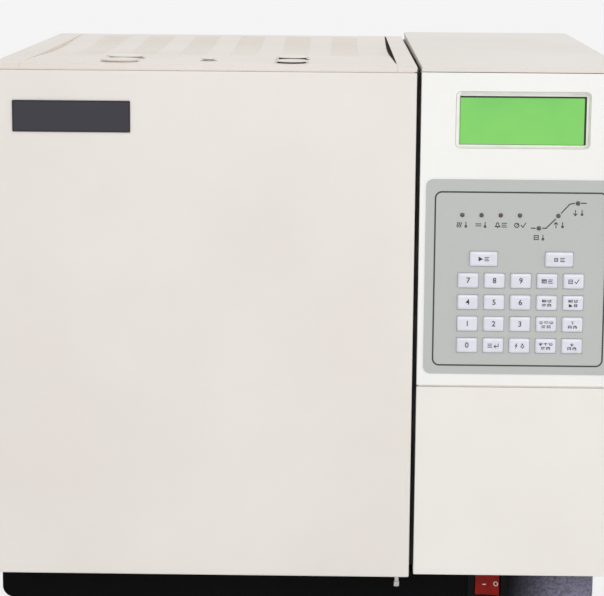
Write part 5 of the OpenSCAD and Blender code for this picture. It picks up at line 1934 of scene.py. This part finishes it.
@dataclass
class RearFittings(Assembly):
    """The mains inlet, the serial port, the gas unions and the exhaust flap's hinge."""

    looks: ClassVar = (("exhaust_flap", COVER.zinc, 0.35), ("circuit_boards", COVER.board, 0.0))
    inlet: Flat = (475.0, 76.6)
    flange: Flat = (23.5, 14.0)
    flange_edge: float = 0.6
    mouth: Flat = (11.0, 7.0)
    socket: Flat = (13.2, 9.7)
    blades: tuple[Flat, ...] = ((-7.0, -1.5), (0.0, 1.8), (7.0, -1.5))
    port: Flat = (436.5, 156.6)
    pin_pitch: float = 2.7
    stub_xs: tuple[float, ...] = (393.0, 421.0, 449.0, 477.0)
    stub_z: float = 121.6
    brackets: Span = (112.6, 208.6)
    flap_z: float = 132.9

    def make(self) -> None:
        """The inlet, the port, the unions and the flap's brackets."""
        self.make_inlet()
        self.make_port()
        self.make_unions()
        self.make_brackets()

    def make_inlet(self) -> None:
        """The mains inlet: a flange, a rounded socket, three blades and two screws."""
        (x, z), y, face = self.inlet, REAR_Y, REAR_Y + 3.0
        flange = about(self.inlet, self.flange)
        outer = rounded(flange, 4.0)
        step = rounded(inset(flange, self.flange_edge), 3.6)
        mouth = rounded(about(self.inlet, self.mouth), 3.0)
        hidden = rounded(about(self.inlet, self.socket), 3.0)
        levels = [(outer, y), (outer, y + 2.4), (step, face), (mouth, face), (mouth, y - 17.0)]
        form = Form()
        form.stack(levels, mouth=True)
        form.stack([(hidden, y), (hidden, y - 21.5)], mouth=True)
        form.finish = 1
        for aside, up in self.blades:
            x0, z0, x1, z1 = about((x + aside, z + up), (1.0, 2.5))
            form.box((x0, y - 17.5, z0), (x1, y - 3.0, z1))
        form.finish = 2
        for aside in (-18.5, 18.5):
            form.screw((x + aside, z), face, 1.0, 2.6)
        made = form.piece("mains_inlet", "cabinet", [COVER.housing, COVER.brass, COVER.steel], "brass")
        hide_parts("rear_connectors")

    def _shell(self, upper: float, lower: float, half: float) -> list[Flat]:
        """The port's outline, with half of its width above and below and half of its height."""
        x, z = self.port
        return [(x - upper, z + half), (x + upper, z + half), (x + lower, z - half), (x - lower, z - half)]

    def make_port(self) -> None:
        """The serial port: a plate, a shell of nine holes and its two jack posts."""
        (x, z), y = self.port, REAR_Y
        form = Form()
        form.prism(rounded(about(self.port, (15.0, 7.0)), 1.5, 4), y, y + 1.0)
        form.prism(self._shell(7.6, 6.4, 4.2), y + 0.5, y + 1.6)
        for aside in (-12.2, 12.2):
            post = [(2.4, y + 0.9), (2.4, y + 3.2), (1.6, y + 3.4), (1.3, y + 1.0)]
            form.turned(post, (x + aside, z), count=6)
        form.finish = 1
        form.prism(self._shell(6.9, 5.8, 3.6), y + 1.0, y + 1.7)
        form.finish = 2
        for row, count in ((1.4, 5), (-1.4, 4)):
            for i in range(count):
                place = (x + (i - (count - 1) / 2) * self.pin_pitch, z + row)
                pin = [(0.6, y + 1.5), (0.6, y + 1.85), (0.25, y + 1.85), (0.25, y + 1.6)]
                form.turned(pin, place, count=12)
        form.piece("serial_port", "cabinet", [COVER.steel, COVER.housing, COVER.brass], "steel")

    def make_unions(self) -> None:
        """A hexagon union with a tube stub for each gas."""
        form = Form()
        y = REAR_Y
        hexagon = [(5.2, y), (5.95, y + 0.5), (5.95, y + 4.2), (5.4, y + 4.8)]
        neck = [
            (4.3, y + 4.7), (4.3, y + 6.2), (4.9, y + 6.6), (4.9, y + 7.6), (3.2, y + 8.0), (2.0, y + 8.0),
        ]  # fmt: skip
        stub = [(1.5, y - 4.0), (1.5, y + 19.8), (1.35, y + 20.0), (0.9, y + 20.0), (0.8, y + 12.0)]
        for x in self.stub_xs:
            for profile, count in ((hexagon, 6), (neck, 32), (stub, 24)):
                form.turned(profile, (x, self.stub_z), count=count)
        form.piece("gas_unions", "cabinet", [COVER.brass], "brass")

    def make_brackets(self) -> None:
        """The brackets and pins that the exhaust flap hangs from."""
        form = Form()
        y, low, high = REAR_Y, self.flap_z + 3.3, self.flap_z + 9.5
        for x in self.brackets:
            for start in (x, x + 21.0):
                form.box((start, y, low), (start + 7.0, y + 8.5, high))
            pin = [(1.2, x + 0.6), (1.5, x + 1.0), (1.5, x + 27.0), (1.2, x + 27.4)]
            form.turned(pin, (y + 5.0, self.flap_z + 6.0), Axis.X, 20)
        form.piece("flap_brackets", "cabinet", [COVER.zinc], "zinc_sheet", 0.4)


# ---- studio --------------------------------------------------------------------------------------


@dataclass
class Studio:
    """The pale floor, the soft lights and the white surroundings."""

    ambient: float = 0.64
    white: Colour = shade(250, 250, 250)
    glow: float = 0.75
    reach: float = 30.0
    lights: tuple[tuple[str, Point, Point, Flat, float], ...] = (
        ("front_softbox", (0.3, -2.9, 2.5), (0.05, 0.0, 0.4), (2.4, 1.6), 35.0),
        ("window_light", (2.9, -1.7, 1.0), (0.1, 0.0, 0.3), (1.2, 1.5), 9.0),
        ("rear_top_light", (0.1, 1.7, 2.2), (0.0, 0.0, 0.47), (2.0, 1.2), 7.0),
    )

    def build(self) -> None:
        """Sets up the whole studio."""
        bpy.context.scene.view_settings.view_transform = "Standard"
        self.make_world()
        self.make_floor()
        for light in self.lights:
            self.add_light(*light)

    def make_world(self) -> None:
        """White for the camera, for gloss and for glass, and a plain soft level for the rest."""
        world = bpy.context.scene.world = bpy.data.worlds.new("studio_walls")
        graph = Graph(world)
        plain = {"Color": (1.0, 1.0, 1.0, 1.0), "Strength": self.ambient}
        soft = graph.node("ShaderNodeBackground", {}, plain)
        bright = graph.node("ShaderNodeBackground", {}, {"Color": self.white})
        graph.node("ShaderNodeOutputWorld", {}, {0: graph.either(graph.seen(), soft, bright)})

    def make_floor(self) -> None:
        """A wide pale floor, which looks white but for the object's shadow."""
        data = bpy.data.meshes.new("studio_floor")
        outline = corners((-self.reach, -self.reach, self.reach, self.reach))
        data.from_pydata([(x, y, 0.0) for x, y in outline], [], [(0, 1, 2, 3)])
        material = bpy.data.materials.new("studio_floor")
        graph = Graph(material)
        colour = graph.mix(self.white, dimmed(self.white, 0.985), graph.noise(2.0))
        paint = graph.principled(Base_Color=colour, Roughness=0.85)
        glow = graph.node("ShaderNodeEmission", {}, {"Strength": 1.0})
        both = graph.either(graph.seen() * self.glow, paint, glow)
        graph.node("ShaderNodeOutputMaterial", {}, {0: both})
        data.materials.append(material)
        floor = bpy.data.objects.new("studio_floor", data)
        bpy.context.scene.collection.objects.link(floor)

    def add_light(self, name: str, place: Point, target: Point, size: Flat, power: float) -> None:
        """Adds a rectangular soft light.

        Args:
            name: Its name.
            place: Where it stands, in metres.
            target: The point that it faces.
            size: Its width and height.
            power: Its power in watts.
        """
        data = bpy.data.lights.new(name, "AREA")
        data.shape, data.size, data.size_y, data.energy = "RECTANGLE", size[0], size[1], power
        light = bpy.data.objects.new(name, data)
        light.location = place
        light.rotation_mode = "QUATERNION"
        light.rotation_quaternion = (Vector(target) - Vector(place)).to_track_quat("-Z", "Y")
        bpy.context.scene.collection.objects.link(light)


@dataclass
class Viewpoint:
    """The camera, by its place in metres, its angles in degrees and its lens in millimetres."""

    place: Point = (0.0232, -1.9869, 0.5881)
    yaw: float = -0.873
    pitch: float = 10.125
    roll: float = 0.441
    lens: float = 126.7
    sensor: float = 36.0

    def build(self) -> None:
        """Makes the camera and gives it to the scene."""
        yaw, pitch, roll = (math.radians(angle) for angle in (self.yaw, self.pitch, self.roll))
        level = math.cos(pitch)
        ahead = Vector((math.sin(yaw) * level, math.cos(yaw) * level, -math.sin(pitch)))
        right = Vector((math.cos(yaw), -math.sin(yaw), 0.0))
        up = right.cross(ahead)
        across = right * math.cos(roll) + up * math.sin(roll)
        upright = up * math.cos(roll) - right * math.sin(roll)
        data = bpy.data.cameras.new("camera")
        data.lens, data.sensor_width = self.lens, self.sensor
        camera = bpy.data.objects.new("camera", data)
        turn = Matrix((across, upright, -ahead)).transposed()
        camera.matrix_world = Matrix.Translation(self.place) @ turn.to_4x4()
        bpy.context.scene.collection.objects.link(camera)
        bpy.context.scene.camera = camera


ASSEMBLIES = (
    Base, Casework, Oven, OvenDoor, Top, ControlPanel, Keypad, GasCompartment, MainsSwitch, RearFittings,
)  # fmt: skip


def main() -> None:
    """Loads the frame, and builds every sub-assembly and the studio."""
    logging.basicConfig(level=logging.INFO, format="%(name)s: %(message)s")
    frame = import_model()
    Viewpoint().build()
    for assembly in ASSEMBLIES:
        assembly(frame).build()
        LOG.info("built %s", assembly.__name__)
    Studio().build()


if __name__ == "__main__":
    main()
